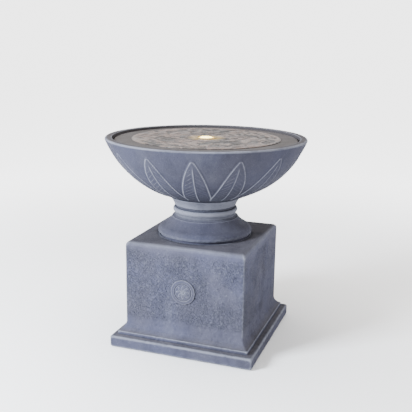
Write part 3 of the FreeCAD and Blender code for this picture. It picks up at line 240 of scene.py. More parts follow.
class FountainStageSettings(bpy.types.PropertyGroup):
    """Camera, lights and floor."""

    lens: bpy.props.FloatProperty(name="Lens", description="Focal length in millimetres",
                                  default=57.6, min=1.0)
    azimuth: turn("Azimuth", "Camera's turn from the front towards the right", 19.61)
    distance: size("Distance", "Camera from the fountain's axis", 1.823)
    height: size("Height", "Camera above the ground", 0.8207)
    pitch: turn("Pitch", "Camera's downward tilt", 13.65)
    roll: turn("Roll", "Camera's roll", 0.74)
    yaw: turn("Yaw", "Camera's aim to the left of the fountain's axis", -0.0575)
    key: share("Key light", "Power of the front light in watts", 340.0, 2000.0)
    top: share("Top light", "Power of the overhead light in watts", 24.0, 2000.0)
    rim: share("Side light", "Power of the side light in watts", 26.0, 2000.0)
    sky: share("Sky", "Strength of the surroundings", 1.2, 10.0)
    paper: share("Backdrop", "Brightness of the backdrop", 3.75, 30.0)


SETTINGS = {
    "fountain_plinth": FountainPlinthSettings,
    "fountain_foot": FountainFootSettings,
    "fountain_bowl": FountainBowlSettings,
    "fountain_lid": FountainLidSettings,
    "fountain_colours": FountainColours,
    "fountain_stage": FountainStageSettings,
}


# ---------------------------------------------------------------- node trees as arithmetic

def feed(tree, slot, value):
    """Links a term into a socket, or sets the socket's own value."""
    if isinstance(value, Term):
        tree.links.new(value.socket, slot)
    else:
        slot.default_value = value


def add(tree, kind, inputs=(), **options):
    """Adds a node, sets its options, and feeds its inputs by name or number."""
    node = tree.nodes.new(kind)
    for option, value in options.items():
        setattr(node, option, value)
    for key, value in dict(inputs).items():
        feed(tree, node.inputs[key], value)
    return node


class Term:
    """A value inside a node tree; arithmetic on it adds Math nodes."""

    def __init__(self, tree, socket):
        self.tree = tree
        self.socket = socket

    def math(self, operation, *others):
        terms = enumerate((self,) + others)
        node = add(self.tree, "ShaderNodeMath", terms, operation=operation)
        return Term(self.tree, node.outputs[0])

    def __add__(self, other):
        return self.math("ADD", other)

    def __sub__(self, other):
        return self.math("SUBTRACT", other)

    def __mul__(self, other):
        return self.math("MULTIPLY", other)

    def __truediv__(self, other):
        return self.math("DIVIDE", other)

    def __neg__(self):
        return self.math("MULTIPLY", -1.0)

    def ramp(self, low, high, start=0.0, end=1.0, smooth=True):
        """The value carried from low..high to start..end, and held at the ends."""
        node = add(self.tree, "ShaderNodeMapRange",
                   {"Value": self, "From Min": low, "From Max": high,
                    "To Min": start, "To Max": end},
                   interpolation_type="SMOOTHSTEP" if smooth else "LINEAR")
        return Term(self.tree, node.outputs[0])

    def ridge(self, width):
        """One where the value is nought, falling off like a bell of that width."""
        scaled = self / width
        return (-(scaled * scaled)).math("EXPONENT")


def noise_field(tree, place, scale, detail=4.0, roughness=0.55, distortion=0.0):
    """Noise between nought and one, of that many features to the metre."""
    node = add(tree, "ShaderNodeTexNoise",
               {"Vector": place, "Scale": scale, "Detail": detail, "Roughness": roughness,
                "Distortion": distortion})
    return Term(tree, node.outputs[0])


def cell_field(tree, place, scale, feature="F1"):
    """Distance within cells, of that many cells to the metre."""
    node = add(tree, "ShaderNodeTexVoronoi", {"Vector": place, "Scale": scale}, feature=feature)
    return Term(tree, node.outputs["Distance"])


def stretched(tree, place, scale):
    """The place with each axis scaled by itself, for drawn-out patterns."""
    node = add(tree, "ShaderNodeMapping", {"Vector": place, "Scale": scale})
    return Term(tree, node.outputs[0])


def parts_of(tree, vector):
    """The three parts of a vector."""
    node = add(tree, "ShaderNodeSeparateXYZ", {0: vector})
    return [Term(tree, output) for output in node.outputs]


def from_axis(tree, place):
    """Distance from the upright axis."""
    x, y, _ = parts_of(tree, place)
    return (x * x + y * y).math("SQRT")


class Recipe:
    """A Geometry Nodes tree being written, with its named inputs."""

    def __init__(self, name):
        self.tree = bpy.data.node_groups.new(name, "GeometryNodeTree")
        sockets = self.tree.interface
        sockets.new_socket("Geometry", in_out="INPUT", socket_type="NodeSocketGeometry")
        sockets.new_socket("Geometry", in_out="OUTPUT", socket_type="NodeSocketGeometry")
        self.entry = self.tree.nodes.new("NodeGroupInput")
        self.exit = self.tree.nodes.new("NodeGroupOutput")
        self.geometry = Term(self.tree, self.entry.outputs[0])
        self.values = {}

    def size(self, name, value, kind="NodeSocketFloat"):
        """A named input and the value that its modifier gets."""
        socket = self.tree.interface.new_socket(name, in_out="INPUT", socket_type=kind)
        self.values[socket.identifier] = value
        return Term(self.tree, self.entry.outputs[name])

    def seed(self):
        """The named input that shifts the tree's noise."""
        return self.size("Seed", RELIEF_SEED, "NodeSocketVector")

    def add(self, kind, inputs=(), **options):
        return add(self.tree, kind, inputs, **options)

    def take(self, kind, inputs=(), output=0, **options):
        """Adds a node and gives one of its outputs."""
        return Term(self.tree, self.add(kind, inputs, **options).outputs[output])

    def place(self):
        """Where each point is."""
        return self.take("GeometryNodeInputPosition")

    def attribute(self, name):
        """A number that the mesh holds for each point."""
        return self.take("GeometryNodeInputNamedAttribute", {"Name": name}, data_type="FLOAT")

    def noise(self, scale, seed, **options):
        """Noise at each point, shifted by the seed."""
        shifted = self.take("ShaderNodeVectorMath", {0: self.place(), 1: seed}, operation="ADD")
        return noise_field(self.tree, shifted, scale, **options)

    def raise_by(self, height):
        """Moves each point along its normal."""
        normal = self.take("GeometryNodeInputNormal")
        offset = self.take("ShaderNodeVectorMath", {0: normal, "Scale": height},
                           operation="SCALE")
        self.geometry = self.take("GeometryNodeSetPosition",
                                  {"Geometry": self.geometry, "Offset": offset})

    def store(self, name, value):
        """Keeps a number for each point, for the material to read."""
        self.geometry = self.take("GeometryNodeStoreNamedAttribute",
                                  {"Geometry": self.geometry, "Name": name, "Value": value},
                                  data_type="FLOAT", domain="POINT")

    def grow(self, piece, material):
        """Ends the tree, runs it on a piece, and leaves the result there as a plain mesh."""
        real = self.take("GeometryNodeRealizeInstances", {0: self.geometry})
        done = self.take("GeometryNodeSetMaterial", {"Geometry": real, "Material": material})
        self.tree.links.new(done.socket, self.exit.inputs[0])
        modifier = piece.modifiers.new("growth", "NODES")
        modifier.node_group = self.tree
        for identifier, value in self.values.items():
            modifier[identifier] = value
        settle(piece)
        piece.data.name = piece.name
        piece.data.shade_smooth()


# ---------------------------------------------------------------- outlines and meshes

def swell(radius):
    """A convex arc between the corners before and after it, on an anticlockwise outline."""
    return ("bend", radius)


def hollow(radius):
    """A concave arc between the corners before and after it."""
    return ("bend", -radius)


def arc_points(start, end, radius, step):
    """Points after start on the short arc to end; the sign of radius gives its side."""
    chord = end - start
    half = np.linalg.norm(chord) / 2
    left = np.array([-chord[1], chord[0]]) / (2 * half)
    rise = math.sqrt(max(radius * radius - half * half, 0.0))
    centre = (start + end) / 2 + left * math.copysign(rise, radius)
    first = math.atan2(*(start - centre)[::-1])
    sweep = math.atan2(*(end - centre)[::-1]) - first
    sweep = (sweep + math.pi) % (2 * math.pi) - math.pi
    pieces = max(3, round(abs(radius * sweep) / step))
    angles = first + sweep * np.arange(1, pieces) / pieces
    return [centre + abs(radius) * np.array([math.cos(a), math.sin(a)]) for a in angles]


def eased(before, corner, after, reach):
    """A corner as a small round: its two ends and its middle."""
    ends = []
    for other in (before, after):
        gap = np.linalg.norm(other - corner)
        ends.append(corner + (other - corner) / gap * min(reach, gap * 0.45))
    return [ends[0], (ends[0] + ends[1]) / 4 + corner / 2, ends[1]]


def traced(outline, step, closed=True, ease=0.0008):
    """Points about step apart along an outline of corners and bends, with eased corners."""
    corners = []
    for item in outline:
        if item[0] == "bend":
            corners[-1][1] = item[1]
        else:
            corners.append([np.array(item, float), 0.0])
    following = corners[1:] + (corners[:1] if closed else [])
    points, sharp = [], []
    for (start, radius), (end, _) in zip(corners, following):
        points.append(start)
        sharp.append(True)
        if radius:
            between = arc_points(start, end, radius, step)
        else:
            pieces = max(2, round(np.linalg.norm(end - start) / step))
            between = [start + (end - start) * k / pieces for k in range(1, pieces)]
        points += between
        sharp += [False] * len(between)
    if not closed:
        points.append(corners[-1][0])
        sharp.append(True)
    line = []
    for index, (point, is_corner) in enumerate(zip(points, sharp)):
        inner = closed or 0 < index < len(points) - 1
        if is_corner and inner and turn_at(points, index) > SHARP_TURN:
            line += eased(points[index - 1], point, points[(index + 1) % len(points)], ease)
        else:
            line.append(point)
    return np.array(line)


def turn_at(points, index):
    """How far the line of points turns at one of them."""
    before = points[index] - points[index - 1]
    after = points[(index + 1) % len(points)] - points[index]
    cross = before[0] * after[1] - before[1] * after[0]
    return abs(math.atan2(cross, before @ after))


def circle_rows(line, segments):
    """A ring of points for each (radius, height); one point where the radius is nought."""
    angles = np.linspace(0, 2 * math.pi, segments, endpoint=False)
    unit = np.stack([np.cos(angles), np.sin(angles)], axis=1)
    return [level(unit * radius if radius > 1e-6 else np.zeros((1, 2)), z) for radius, z in line]


def level(flat, z):
    """Flat points at one height."""
    return np.column_stack([flat, np.full(len(flat), z)])


def square_ring(half, corner, side_points, corner_points):
    """A square with rounded corners, anticlockwise, with evenly spaced points on its sides."""
    straight = half - corner
    turns = np.linspace(-math.pi / 4, math.pi / 4, corner_points)
    side = np.column_stack([np.full(side_points, half),
                            np.linspace(-straight, straight, side_points + 2)[1:-1]])
    knuckle = np.column_stack([np.cos(turns + math.pi / 4), np.sin(turns + math.pi / 4)])
    quarter = np.vstack([side, knuckle * corner + straight])
    ring = []
    for quarter_turn in range(4):
        angle = quarter_turn * math.pi / 2
        spin = np.array([[math.cos(angle), math.sin(angle)], [-math.sin(angle), math.cos(angle)]])
        ring.append(quarter @ spin)
    return np.vstack(ring)


def skin(name, rows, closed=True):
    """A mesh over rows of points; a row of one point is a pole, and closed joins last to first."""
    starts = np.cumsum([0] + [len(row) for row in rows])
    pairs = list(zip(range(len(rows) - 1), range(1, len(rows))))
    if closed:
        pairs.append((len(rows) - 1, 0))
    faces = []
    for low, high in pairs:
        points = max(len(rows[low]), len(rows[high]))
        here = np.arange(points)
        after = (here + 1) % points
        below, above = starts[low], starts[high]
        if len(rows[low]) == 1:
            faces += np.stack([here * 0 + below, above + after, above + here], axis=1).tolist()
        elif len(rows[high]) == 1:
            faces += np.stack([below + here, below + after, here * 0 + above], axis=1).tolist()
        else:
            faces += np.stack([below + here, below + after, above + after, above + here],
                              axis=1).tolist()
    mesh = bpy.data.meshes.new(name)
    mesh.from_pydata(np.vstack(rows).tolist(), [], faces)
    mesh.shade_smooth()
    piece = bpy.data.objects.new(name, mesh)
    bpy.context.scene.collection.objects.link(piece)
    return piece


def mark_rows(piece, rows, name, values):
    """Keeps one number for each row of a skin's points."""
    numbers = np.repeat(np.asarray(values, np.float32), [len(row) for row in rows])
    piece.data.attributes.new(name, "FLOAT", "POINT").data.foreach_set("value", numbers)


def run_along(line):
    """Length along a line of points up to each of them."""
    return np.concatenate([[0.0], np.cumsum(np.linalg.norm(np.diff(line, axis=0), axis=1))])


def settle(piece):
    """Turns a piece and its modifiers into a plain mesh."""
    view = bpy.context.evaluated_depsgraph_get()
    result = bpy.data.meshes.new_from_object(piece.evaluated_get(view), depsgraph=view,
                                             preserve_all_data_layers=True)
    piece.modifiers.clear()
    plain, piece.data = piece.data, result
    bpy.data.meshes.remove(plain)


def bored(piece, cutters):
    """Takes closed cutters out of a closed piece, and removes them."""
    for cutter in cutters:
        modifier = piece.modifiers.new("bore", "BOOLEAN")
        modifier.object = cutter
        modifier.operation = "DIFFERENCE"
        modifier.solver = "MANIFOLD"
    settle(piece)
    for cutter in cutters:
        bpy.data.meshes.remove(cutter.data)


def rod_piece(radius, low, high, middle=(0.0, 0.0), lying=False, segments=96):
    """A closed cylinder from low to high, upright, or lying along Y at (x, z)."""
    line = [(0.0, low), (radius, low), (radius, high), (0.0, high)]
    rows = circle_rows(line, segments)
    if lying:
        rows = [np.column_stack([row[:, 0] + middle[0], row[:, 2], middle[1] - row[:, 1]])
                for row in rows]
    else:
        rows = [row + np.array([middle[0], middle[1], 0.0]) for row in rows]
    return skin("cutter", rows, closed=False)


def mark_edges(piece, rounds=3):
    """Keeps 'edge' on a piece: above nought on arrises and ridges, below it in hollows."""
    mesh = piece.data
    points = len(mesh.vertices)
    place = np.empty(points * 3, np.float32)
    normal = np.empty(points * 3, np.float32)
    ends = np.empty(len(mesh.edges) * 2, np.int32)
    mesh.vertices.foreach_get("co", place)
    mesh.vertices.foreach_get("normal", normal)
    mesh.edges.foreach_get("vertices", ends)
    place, normal, ends = place.reshape(-1, 3), normal.reshape(-1, 3), ends.reshape(-1, 2)
    first, second = ends[:, 0], ends[:, 1]
    along = place[second] - place[first]
    along /= np.maximum(np.linalg.norm(along, axis=1, keepdims=True), 1e-9)
    both = np.concatenate([first, second])
    neighbours = np.maximum(np.bincount(both, minlength=points), 1)

    def gathered(from_first, from_second):
        """The mean at each point of what its edges bring from their other ends."""
        return np.bincount(both, np.concatenate([from_first, from_second]), points) / neighbours

    fall = gathered(-(along * normal[first]).sum(1), (along * normal[second]).sum(1))
    for _ in range(rounds):
        fall = (fall + gathered(fall[second], fall[first])) / 2
    mesh.attributes.new("edge", "FLOAT", "POINT").data.foreach_set("value",
                                                                   fall.astype(np.float32))


# ---------------------------------------------------------------- materials

def opaque(rgb):
    """A colour with full alpha."""
    return (*rgb, 1.0)


class Look:
    """A material being written: patterns in object space that end in one Principled shader."""

    def __init__(self, name, shader):
        self.material = bpy.data.materials.new(name)
        self.material.use_nodes = True
        self.tree = self.material.node_tree
        self.shader = self.tree.nodes["Principled BSDF"]
        for socket, value in shader.items():
            self.shader.inputs[socket].default_value = value
        self.place = self.take("ShaderNodeTexCoord", output="Object")
        self.relief = None

    def take(self, kind, inputs=(), output=0, **options):
        """Adds a node and gives one of its outputs."""
        return Term(self.tree, add(self.tree, kind, inputs, **options).outputs[output])

    def noise(self, scale, stretch=None, **options):
        """Noise of that many features to the metre, drawn out where stretch is small."""
        place = stretched(self.tree, self.place, stretch) if stretch else self.place
        return noise_field(self.tree, place, scale, **options)

    def cells(self, scale, feature="F1"):
        """Distance within cells."""
        return cell_field(self.tree, self.place, scale, feature)

    def clouds(self, scale, detail):
        """Soft patches, nought to one."""
        return self.noise(scale, detail=detail).ramp(0.35, 0.65)

    def attribute(self, name):
        """A number that the piece holds for each point."""
        return self.take("ShaderNodeAttribute", output="Fac", attribute_name=name)

    def facing_up(self):
        """One on faces that look up, nought on upright ones."""
        normal = self.take("ShaderNodeNewGeometry", output="Normal")
        return parts_of(self.tree, normal)[2].ramp(0.55, 0.95)

    def mix(self, factor, under, over):
        """One colour over another."""
        colours = [one if isinstance(one, Term) else opaque(one) for one in (under, over)]
        return self.take("ShaderNodeMix", {0: factor, 6: colours[0], 7: colours[1]}, output=2,
                         data_type="RGBA")

    def set(self, socket, value):
        """Gives a shader socket its pattern."""
        feed(self.tree, self.shader.inputs[socket], value)

    def emboss(self, height, distance):
        """Adds a bump of that many metres."""
        inputs = {"Height": height, "Distance": distance, "Strength": 1.0}
        if self.relief is not None:
            inputs["Normal"] = self.relief
        self.relief = self.take("ShaderNodeBump", inputs)

    def done(self, colour_term=None):
        """Joins the colour and the bumps to the shader."""
        if colour_term is not None:
            self.set("Base Color", colour_term)
        if self.relief is not None:
            self.set("Normal", self.relief)
        return self.material


def stone(name, colours, shade=1.0, top_light_share=0.6, hammered=None, carved=False,
          lit_band_from=None, shade_below=None, shadow_ring=None):
    """Cast stone: cool and warm clouds, painted shade in hollows, pale worn edges, grain and
    pinholes, and a painted warm top-light tint on level faces.
    """
    look = Look(name, {"Roughness": 0.84, "Specular IOR Level": 0.12})
    # Each piece scales all its colours by shade: a painted light level, darker for the bowl, its
    # ledges, the foot and the medallion, lighter for the plinth.
    cool, warm, top_light_and_inside_tone, pale_and_highlight = ([part * shade for part in one] for one in (
        colours.stone_cool, colours.stone_warm, colours.stone_top, colours.stone_pale_and_highlight))
    height = parts_of(look.tree, look.place)[2]
    clouds = look.noise(6.0, detail=3.0).ramp(0.36, 0.64)
    stains = look.noise(17.0, detail=6.0, roughness=0.68).ramp(0.46, 0.72)
    grain = look.noise(520.0, detail=3.0, roughness=0.7)
    dust = look.noise(62.0, detail=7.0, roughness=0.80, distortion=0.9).ramp(0.52, 0.68)
    flecks = look.noise(230.0, detail=4.0, distortion=1.6).ramp(0.58, 0.68)
    streaks = look.noise(13.0, stretch=(1.0, 1.0, 0.3), detail=5.0, roughness=0.6,
                         distortion=0.4)
    pinholes = look.cells(170.0).ramp(0.10, 0.17, 1.0, 0.0)
    edge = look.attribute("edge")
    worn = edge.ramp(0.015, 0.11) * look.noise(24.0, detail=4.0).ramp(0.20, 0.62, 0.45, 1.0)
    crease_shade = (-edge).ramp(0.02, 0.14)
    # Faces that look up take the warmer level colour: a painted top-light tint.
    top_light_mask = look.facing_up()
    tone = look.mix(clouds, cool, warm)
    tone = look.mix(top_light_mask * top_light_share, tone, top_light_and_inside_tone)
    # Above that height the stone is lightened towards the pale colour: a painted highlight on the
    # foot's collar and torus.
    if lit_band_from is not None:
        tone = look.mix(height.ramp(lit_band_from, lit_band_from + 0.006) * 0.55, tone,
                        colours.stone_pale_and_highlight)
    # Darker towards the bottom: painted shade under the bowl.
    if shade_below is not None:
        low, high = shade_below
        tone = look.mix(height.ramp(low, high, 0.85, 0.0), tone, colours.stone_stain_and_shade)
    # A ring about the axis darkened: painted shadow in the foot's grooves and around its seat on
    # the plinth.
    if shadow_ring is not None:
        reach = from_axis(look.tree, look.place).ramp(*shadow_ring, 1.0, 0.0)
        tone = look.mix(reach * 0.75, tone, colours.stone_stain_and_shade)
    tone = look.mix(stains * 0.30, tone, colours.stone_stain_and_shade)
    tone = look.mix(dust * 0.14, tone, pale_and_highlight)
    tone = look.mix(streaks.ramp(0.50, 0.68) * 0.32, tone, colours.stone_stain_and_shade)
    tone = look.mix(streaks.ramp(0.32, 0.48, 1.0, 0.0) * 0.10, tone, pale_and_highlight)
    tone = look.mix(flecks * 0.16, tone, pale_and_highlight)
    if hammered is not None:
        low, high = hammered
        dimples = look.noise(150.0, detail=3.0, distortion=1.4).ramp(0.40, 0.66)
        dimples = dimples * look.noise(9.0, detail=3.0).ramp(0.36, 0.56, 0.25, 1.0)
        dimples = dimples * height.ramp(low, low + 0.02) * height.ramp(high - 0.02, high, 1.0, 0.0)
        # The dimples' raised parts lightened: a painted highlight over the hammered relief.
        tone = look.mix(dimples * 0.16, tone, pale_and_highlight)
        look.emboss(dimples, 0.0030)
    tone = look.mix(pinholes * 0.35, tone, colours.stone_stain_and_shade)
    # Hollows and creases darkened: painted shade.
    tone = look.mix(crease_shade * 0.80, tone, colours.stone_stain_and_shade)
    tone = look.mix(worn * 0.85, tone, [part * (1 + shade) / 2 for part in colours.stone_pale_and_highlight])
    tone = look.mix(look.attribute("inside") * 0.85, tone, top_light_and_inside_tone)
    if carved:
        line = look.attribute("leaf_edge").ridge(0.0013)
        rib = look.attribute("leaf_rib").ridge(0.0011)
        veins = look.attribute("leaf_vein").ridge(0.0010) * 0.5
        marks = line.math("MAXIMUM", rib * 0.9).math("MAXIMUM", veins)
        marks = marks * look.noise(45.0, detail=5.0).ramp(0.30, 0.55, 0.45, 1.0)
        tone = look.mix(marks, tone, colours.stone_pale_and_highlight)
    look.emboss(look.noise(90.0, detail=5.0, roughness=0.6), 0.0012)
    look.emboss(grain, 0.0005)
    look.emboss(pinholes, -0.0005)
    look.set("Roughness", grain.ramp(0.3, 0.7, 0.76, 0.92))
    return look.done(tone)


def wet_stone(name, colours):
    """The lid's cast stone: wet rippled disc with painted highlights on its ridges, painted shade
    in its hollows and a painted glow near the light, and a drier border.
    """
    look = Look(name, {"Roughness": 0.5, "Specular IOR Level": 0.15, "Coat Weight": 0.0,
                       "Coat Roughness": 0.12, "Coat IOR": 1.33})
    ripple = look.attribute("ripple")
    disc = look.attribute("disc").ramp(0.4, 0.6)
    halo = from_axis(look.tree, look.place).ramp(0.026, 0.058, 1.0, 0.0)
    grain = look.noise(480.0, detail=3.0, roughness=0.7)
    clouds = look.noise(14.0, detail=5.0, roughness=0.65).ramp(0.38, 0.62)
    blush = look.noise(11.0, detail=4.0, roughness=0.6, distortion=0.8).ramp(0.44, 0.58)
    threads = look.noise(48.0, detail=6.0, roughness=0.7, distortion=2.2).ramp(0.52, 0.66)
    border = look.mix(clouds * 0.7, colours.lid_ground, colours.stone_top)
    # Ripple crests lightened: painted highlight.
    bed = look.mix(ripple.ramp(0.46, 0.78), colours.lid_ground, colours.lid_ridge_highlight)
    bed = look.mix(blush * 0.45, bed, colours.lid_blush)
    bed = look.mix(threads * 0.25, bed, colours.stone_pale_and_highlight)
    # Ripple troughs darkened: painted shade.
    bed = look.mix(ripple.ramp(0.20, 0.42, 1.0, 0.0) * 0.9, bed, colours.lid_hollow_shade)
    # Dark lines along the ripples' slopes: painted shade.
    slope_shade_lines = (ripple - 0.50).ridge(0.085) * look.noise(17.0, detail=2.0).ramp(0.42, 0.56)
    bed = look.mix(slope_shade_lines * 0.85, bed, colours.lid_hollow_shade)
    tone = look.mix(disc, border, bed)
    # Concave creases darkened: painted shade.
    tone = look.mix((-look.attribute("edge")).ramp(0.05, 0.3) * 0.6, tone, colours.lid_hollow_shade)
    look.emboss(look.noise(110.0, detail=5.0, distortion=0.6), 0.0006)
    look.emboss(grain, 0.0003)
    look.set("Roughness", disc.ramp(0.0, 1.0, 0.78, 0.40, smooth=False))
    look.set("Coat Weight", disc * 0.30)
    # A glow around the middle, fading outwards: painted light from the lamp on the lid.
    look.set("Emission Color", look.mix(disc, colours.glow, colours.glow))
    look.set("Emission Strength", halo * disc * 0.55)
    return look.done(tone)


def moulded(name, base, shade, roughness=0.45, texture=0.00012, grain=900.0, **shader):
    """Moulded plastic or rubber: faint clouds, spark-eroded grain and rubbed patches."""
    settings = {"Roughness": roughness}
    settings.update({key.replace("_", " "): value for key, value in shader.items()})
    look = Look(name, settings)
    clouds = look.clouds(45.0, 4.0)
    scuffs = look.noise(160.0, stretch=(1.0, 3.0, 0.6), detail=6.0, roughness=0.7)
    rubbed = scuffs.ramp(0.58, 0.72)
    tone = look.mix(clouds * 0.8, base, shade)
    tone = look.mix(rubbed * 0.18, tone, [min(1.0, part * 1.8 + 0.03) for part in base])
    skin_grain = look.noise(grain, detail=2.0, roughness=0.6)
    look.emboss(skin_grain, texture)
    look.set("Roughness", rubbed.ramp(0.0, 1.0, roughness, roughness * 0.72, smooth=False))
    return look.done(tone)


def banded(name, base, shade, axis, pitch, metallic, roughness, depth):
    """Stacked sheets or wound wire: fine bands across one axis."""
    look = Look(name, {"Metallic": metallic, "Roughness": roughness})
    along = parts_of(look.tree, look.place)["XYZ".index(axis)]
    wave = (along * (2 * math.pi / pitch)).math("SINE")
    clouds = look.clouds(70.0, 5.0)
    tone = look.mix(wave.ramp(-0.9, 0.2, 1.0, 0.0), base, shade)
    tone = look.mix(clouds * 0.35, tone, shade)
    look.emboss(wave, depth)
    look.set("Roughness", clouds.ramp(0.0, 1.0, roughness, min(1.0, roughness * 1.35)))
    return look.done(tone)


def metal(name, base, shade, roughness, stretch):
    """Drawn or turned metal: fine lines one way, and a little tarnish."""
    look = Look(name, {"Metallic": 1.0, "Roughness": roughness})
    lines = look.noise(900.0, stretch=stretch, detail=3.0)
    tarnish = look.noise(60.0, detail=6.0, roughness=0.7).ramp(0.45, 0.70)
    tone = look.mix(tarnish * 0.6, base, shade)
    look.emboss(lines, 0.00005)
    look.set("Roughness", tarnish.ramp(0.0, 1.0, roughness, min(1.0, roughness + 0.25)))
    return look.done(tone)


def ceramic(name):
    """White alumina: dense, smooth, with faint grey specks."""
    look = Look(name, {"Roughness": 0.22, "Specular IOR Level": 0.6})
    specks = look.noise(1400.0, detail=2.0).ramp(0.66, 0.74)
    clouds = look.clouds(120.0, 3.0)
    tone = look.mix(clouds, (0.86, 0.85, 0.81), (0.78, 0.77, 0.74))
    tone = look.mix(specks * 0.4, tone, (0.35, 0.35, 0.34))
    look.emboss(look.noise(1500.0, detail=2.0), 0.00002)
    return look.done(tone)


def ferrite(name):
    """Pressed ferrite: dark, fine-grained, with chipped pale spots."""
    look = Look(name, {"Roughness": 0.55, "Metallic": 0.35})
    chips = look.cells(700.0).ramp(0.06, 0.16, 1.0, 0.0)
    clouds = look.clouds(90.0, 4.0)
    tone = look.mix(clouds, (0.045, 0.043, 0.045), (0.085, 0.08, 0.08))
    tone = look.mix(chips * 0.5, tone, (0.20, 0.19, 0.19))
    look.emboss(look.noise(1100.0, detail=3.0), 0.0001)
    return look.done(tone)


def sponge(name):
    """Open-cell foam: round dark pores between fine struts."""
    look = Look(name, {"Roughness": 0.95, "Sheen Weight": 0.25})
    pores = look.cells(520.0).ramp(0.20, 0.55, 1.0, 0.0)
    small = look.cells(1100.0).ramp(0.15, 0.5, 1.0, 0.0)
    depth = pores.math("MAXIMUM", small * 0.5)
    tone = look.mix(depth, (0.10, 0.105, 0.115), (0.008, 0.008, 0.010))
    look.emboss(depth, -0.0012)
    return look.done(tone)


def resin(name):
    """Potting resin: black and glossy, with small bubbles and a soft ripple."""
    look = Look(name, {"Roughness": 0.16, "Specular IOR Level": 0.5})
    bubbles = look.cells(330.0).ramp(0.10, 0.16, 1.0, 0.0)
    clouds = look.clouds(55.0, 3.0)
    tone = look.mix(clouds, (0.010, 0.010, 0.012), (0.022, 0.021, 0.020))
    look.emboss(look.noise(60.0, detail=2.0), 0.0005)
    look.emboss(bubbles, -0.0003)
    look.set("Roughness", bubbles.ramp(0.0, 1.0, 0.14, 0.4))
    return look.done(tone)


def clear(name, tint, roughness, haze):
    """Clear plastic: faint flow lines and handling haze."""
    look = Look(name, {"Transmission Weight": 0.92, "IOR": 1.49, "Roughness": roughness})
    smear = look.noise(140.0, stretch=(1.0, 1.0, 0.25), detail=5.0).ramp(0.45, 0.72)
    tone = look.mix(smear * haze, tint, [part * 0.86 for part in tint])
    look.emboss(look.noise(220.0, stretch=(1.0, 1.0, 0.2), detail=3.0), 0.00012)
    look.set("Roughness", smear.ramp(0.0, 1.0, roughness, roughness + 0.16))
    return look.done(tone)


def circuit_board(name):
    """Solder-masked board: tracks under green lacquer, and tinned dots."""
    look = Look(name, {"Roughness": 0.32, "Coat Weight": 0.4, "Coat Roughness": 0.15})
    tracks = look.cells(330.0, "DISTANCE_TO_EDGE").ramp(0.04, 0.10, 1.0, 0.0)
    dots = look.cells(240.0).ramp(0.10, 0.15, 1.0, 0.0)
    tone = look.mix(tracks, (0.010, 0.115, 0.045), (0.035, 0.200, 0.085))
    tone = look.mix(dots, tone, (0.62, 0.62, 0.60))
    look.emboss(tracks.math("MAXIMUM", dots), 0.00008)
    look.set("Metallic", dots)
    return look.done(tone)


def lamp(name, colours, strength):
    """Phosphor over the chips: matt yellow that glows."""
    look = Look(name, {"Roughness": 0.6, "Emission Color": opaque(colours.glow_core),
                       "Emission Strength": strength})
    grain = look.noise(2200.0, detail=2.0)
    tone = look.mix(grain.ramp(0.4, 0.6), (0.90, 0.66, 0.06), (0.80, 0.52, 0.03))
    look.emboss(grain, 0.00005)
    return look.done(tone)


def lit_water(name, colours, core):
    """Bubbling water over the light, with a painted glow: near white in the middle, amber towards
    the edge.
    """
    look = Look(name, {"Roughness": 0.08, "IOR": 1.33, "Transmission Weight": 0.35,
                       "Emission Strength": 4.2})
    reach = from_axis(look.tree, look.place)
    froth = look.noise(230.0, detail=4.0, distortion=0.5)
    middle = (reach + (froth - 0.5) * 0.012).ramp(core * 0.85, core * 1.25, 1.0, 0.0)
    dark = [part * 0.12 for part in colours.glow]
    skirt = look.mix(froth.ramp(0.35, 0.65), dark, [part * 0.34 for part in colours.glow])
    # The water's emission and colour are painted light: they stand in for the lamp's light in the
    # water.
    look.set("Emission Color", look.mix(middle, skirt, colours.glow_core))
    look.emboss(look.noise(160.0, detail=3.0), 0.0012)
    return look.done(look.mix(middle, colours.glow, (1.0, 0.97, 0.86)))


def floor_paper(name):
    """Plain pale paper with a faint tooth, lit from behind away from the middle."""
    look = Look(name, {"Roughness": 0.9, "Specular IOR Level": 0.1,
                       "Emission Color": opaque((1.0, 1.0, 1.0))})
    look.set("Emission Strength", from_axis(look.tree, look.place).ramp(0.5, 2.6) * 2.6)
    tooth = look.noise(160.0, detail=4.0)
    tone = look.mix(tooth.ramp(0.3, 0.7), (0.93, 0.93, 0.93), (0.95, 0.95, 0.95))
    look.emboss(tooth, 0.0001)
    return look.done(tone)


def dress(material, *nodes):
    """Gives carried-over nodes their finish."""
    for node in nodes:
        slots = NODES[node].material_slots
        if not slots:
            raise RuntimeError("node %s has no material slot" % node)
        for slot in slots:
            slot.material = material


# ---------------------------------------------------------------- castings

def weathered(recipe, depth, grain_depth):
    """A cast face's slow waves and fine unevenness, always inward."""
    seed = recipe.seed()
    waves = recipe.size("Wave depth", depth)
    rough = recipe.size("Grain depth", grain_depth)
    slow = recipe.noise(14.0, seed, detail=2.0)
    fine = recipe.noise(130.0, seed, detail=3.0, roughness=0.6)
    return (slow - 1.0) * waves + (fine - 1.0) * rough


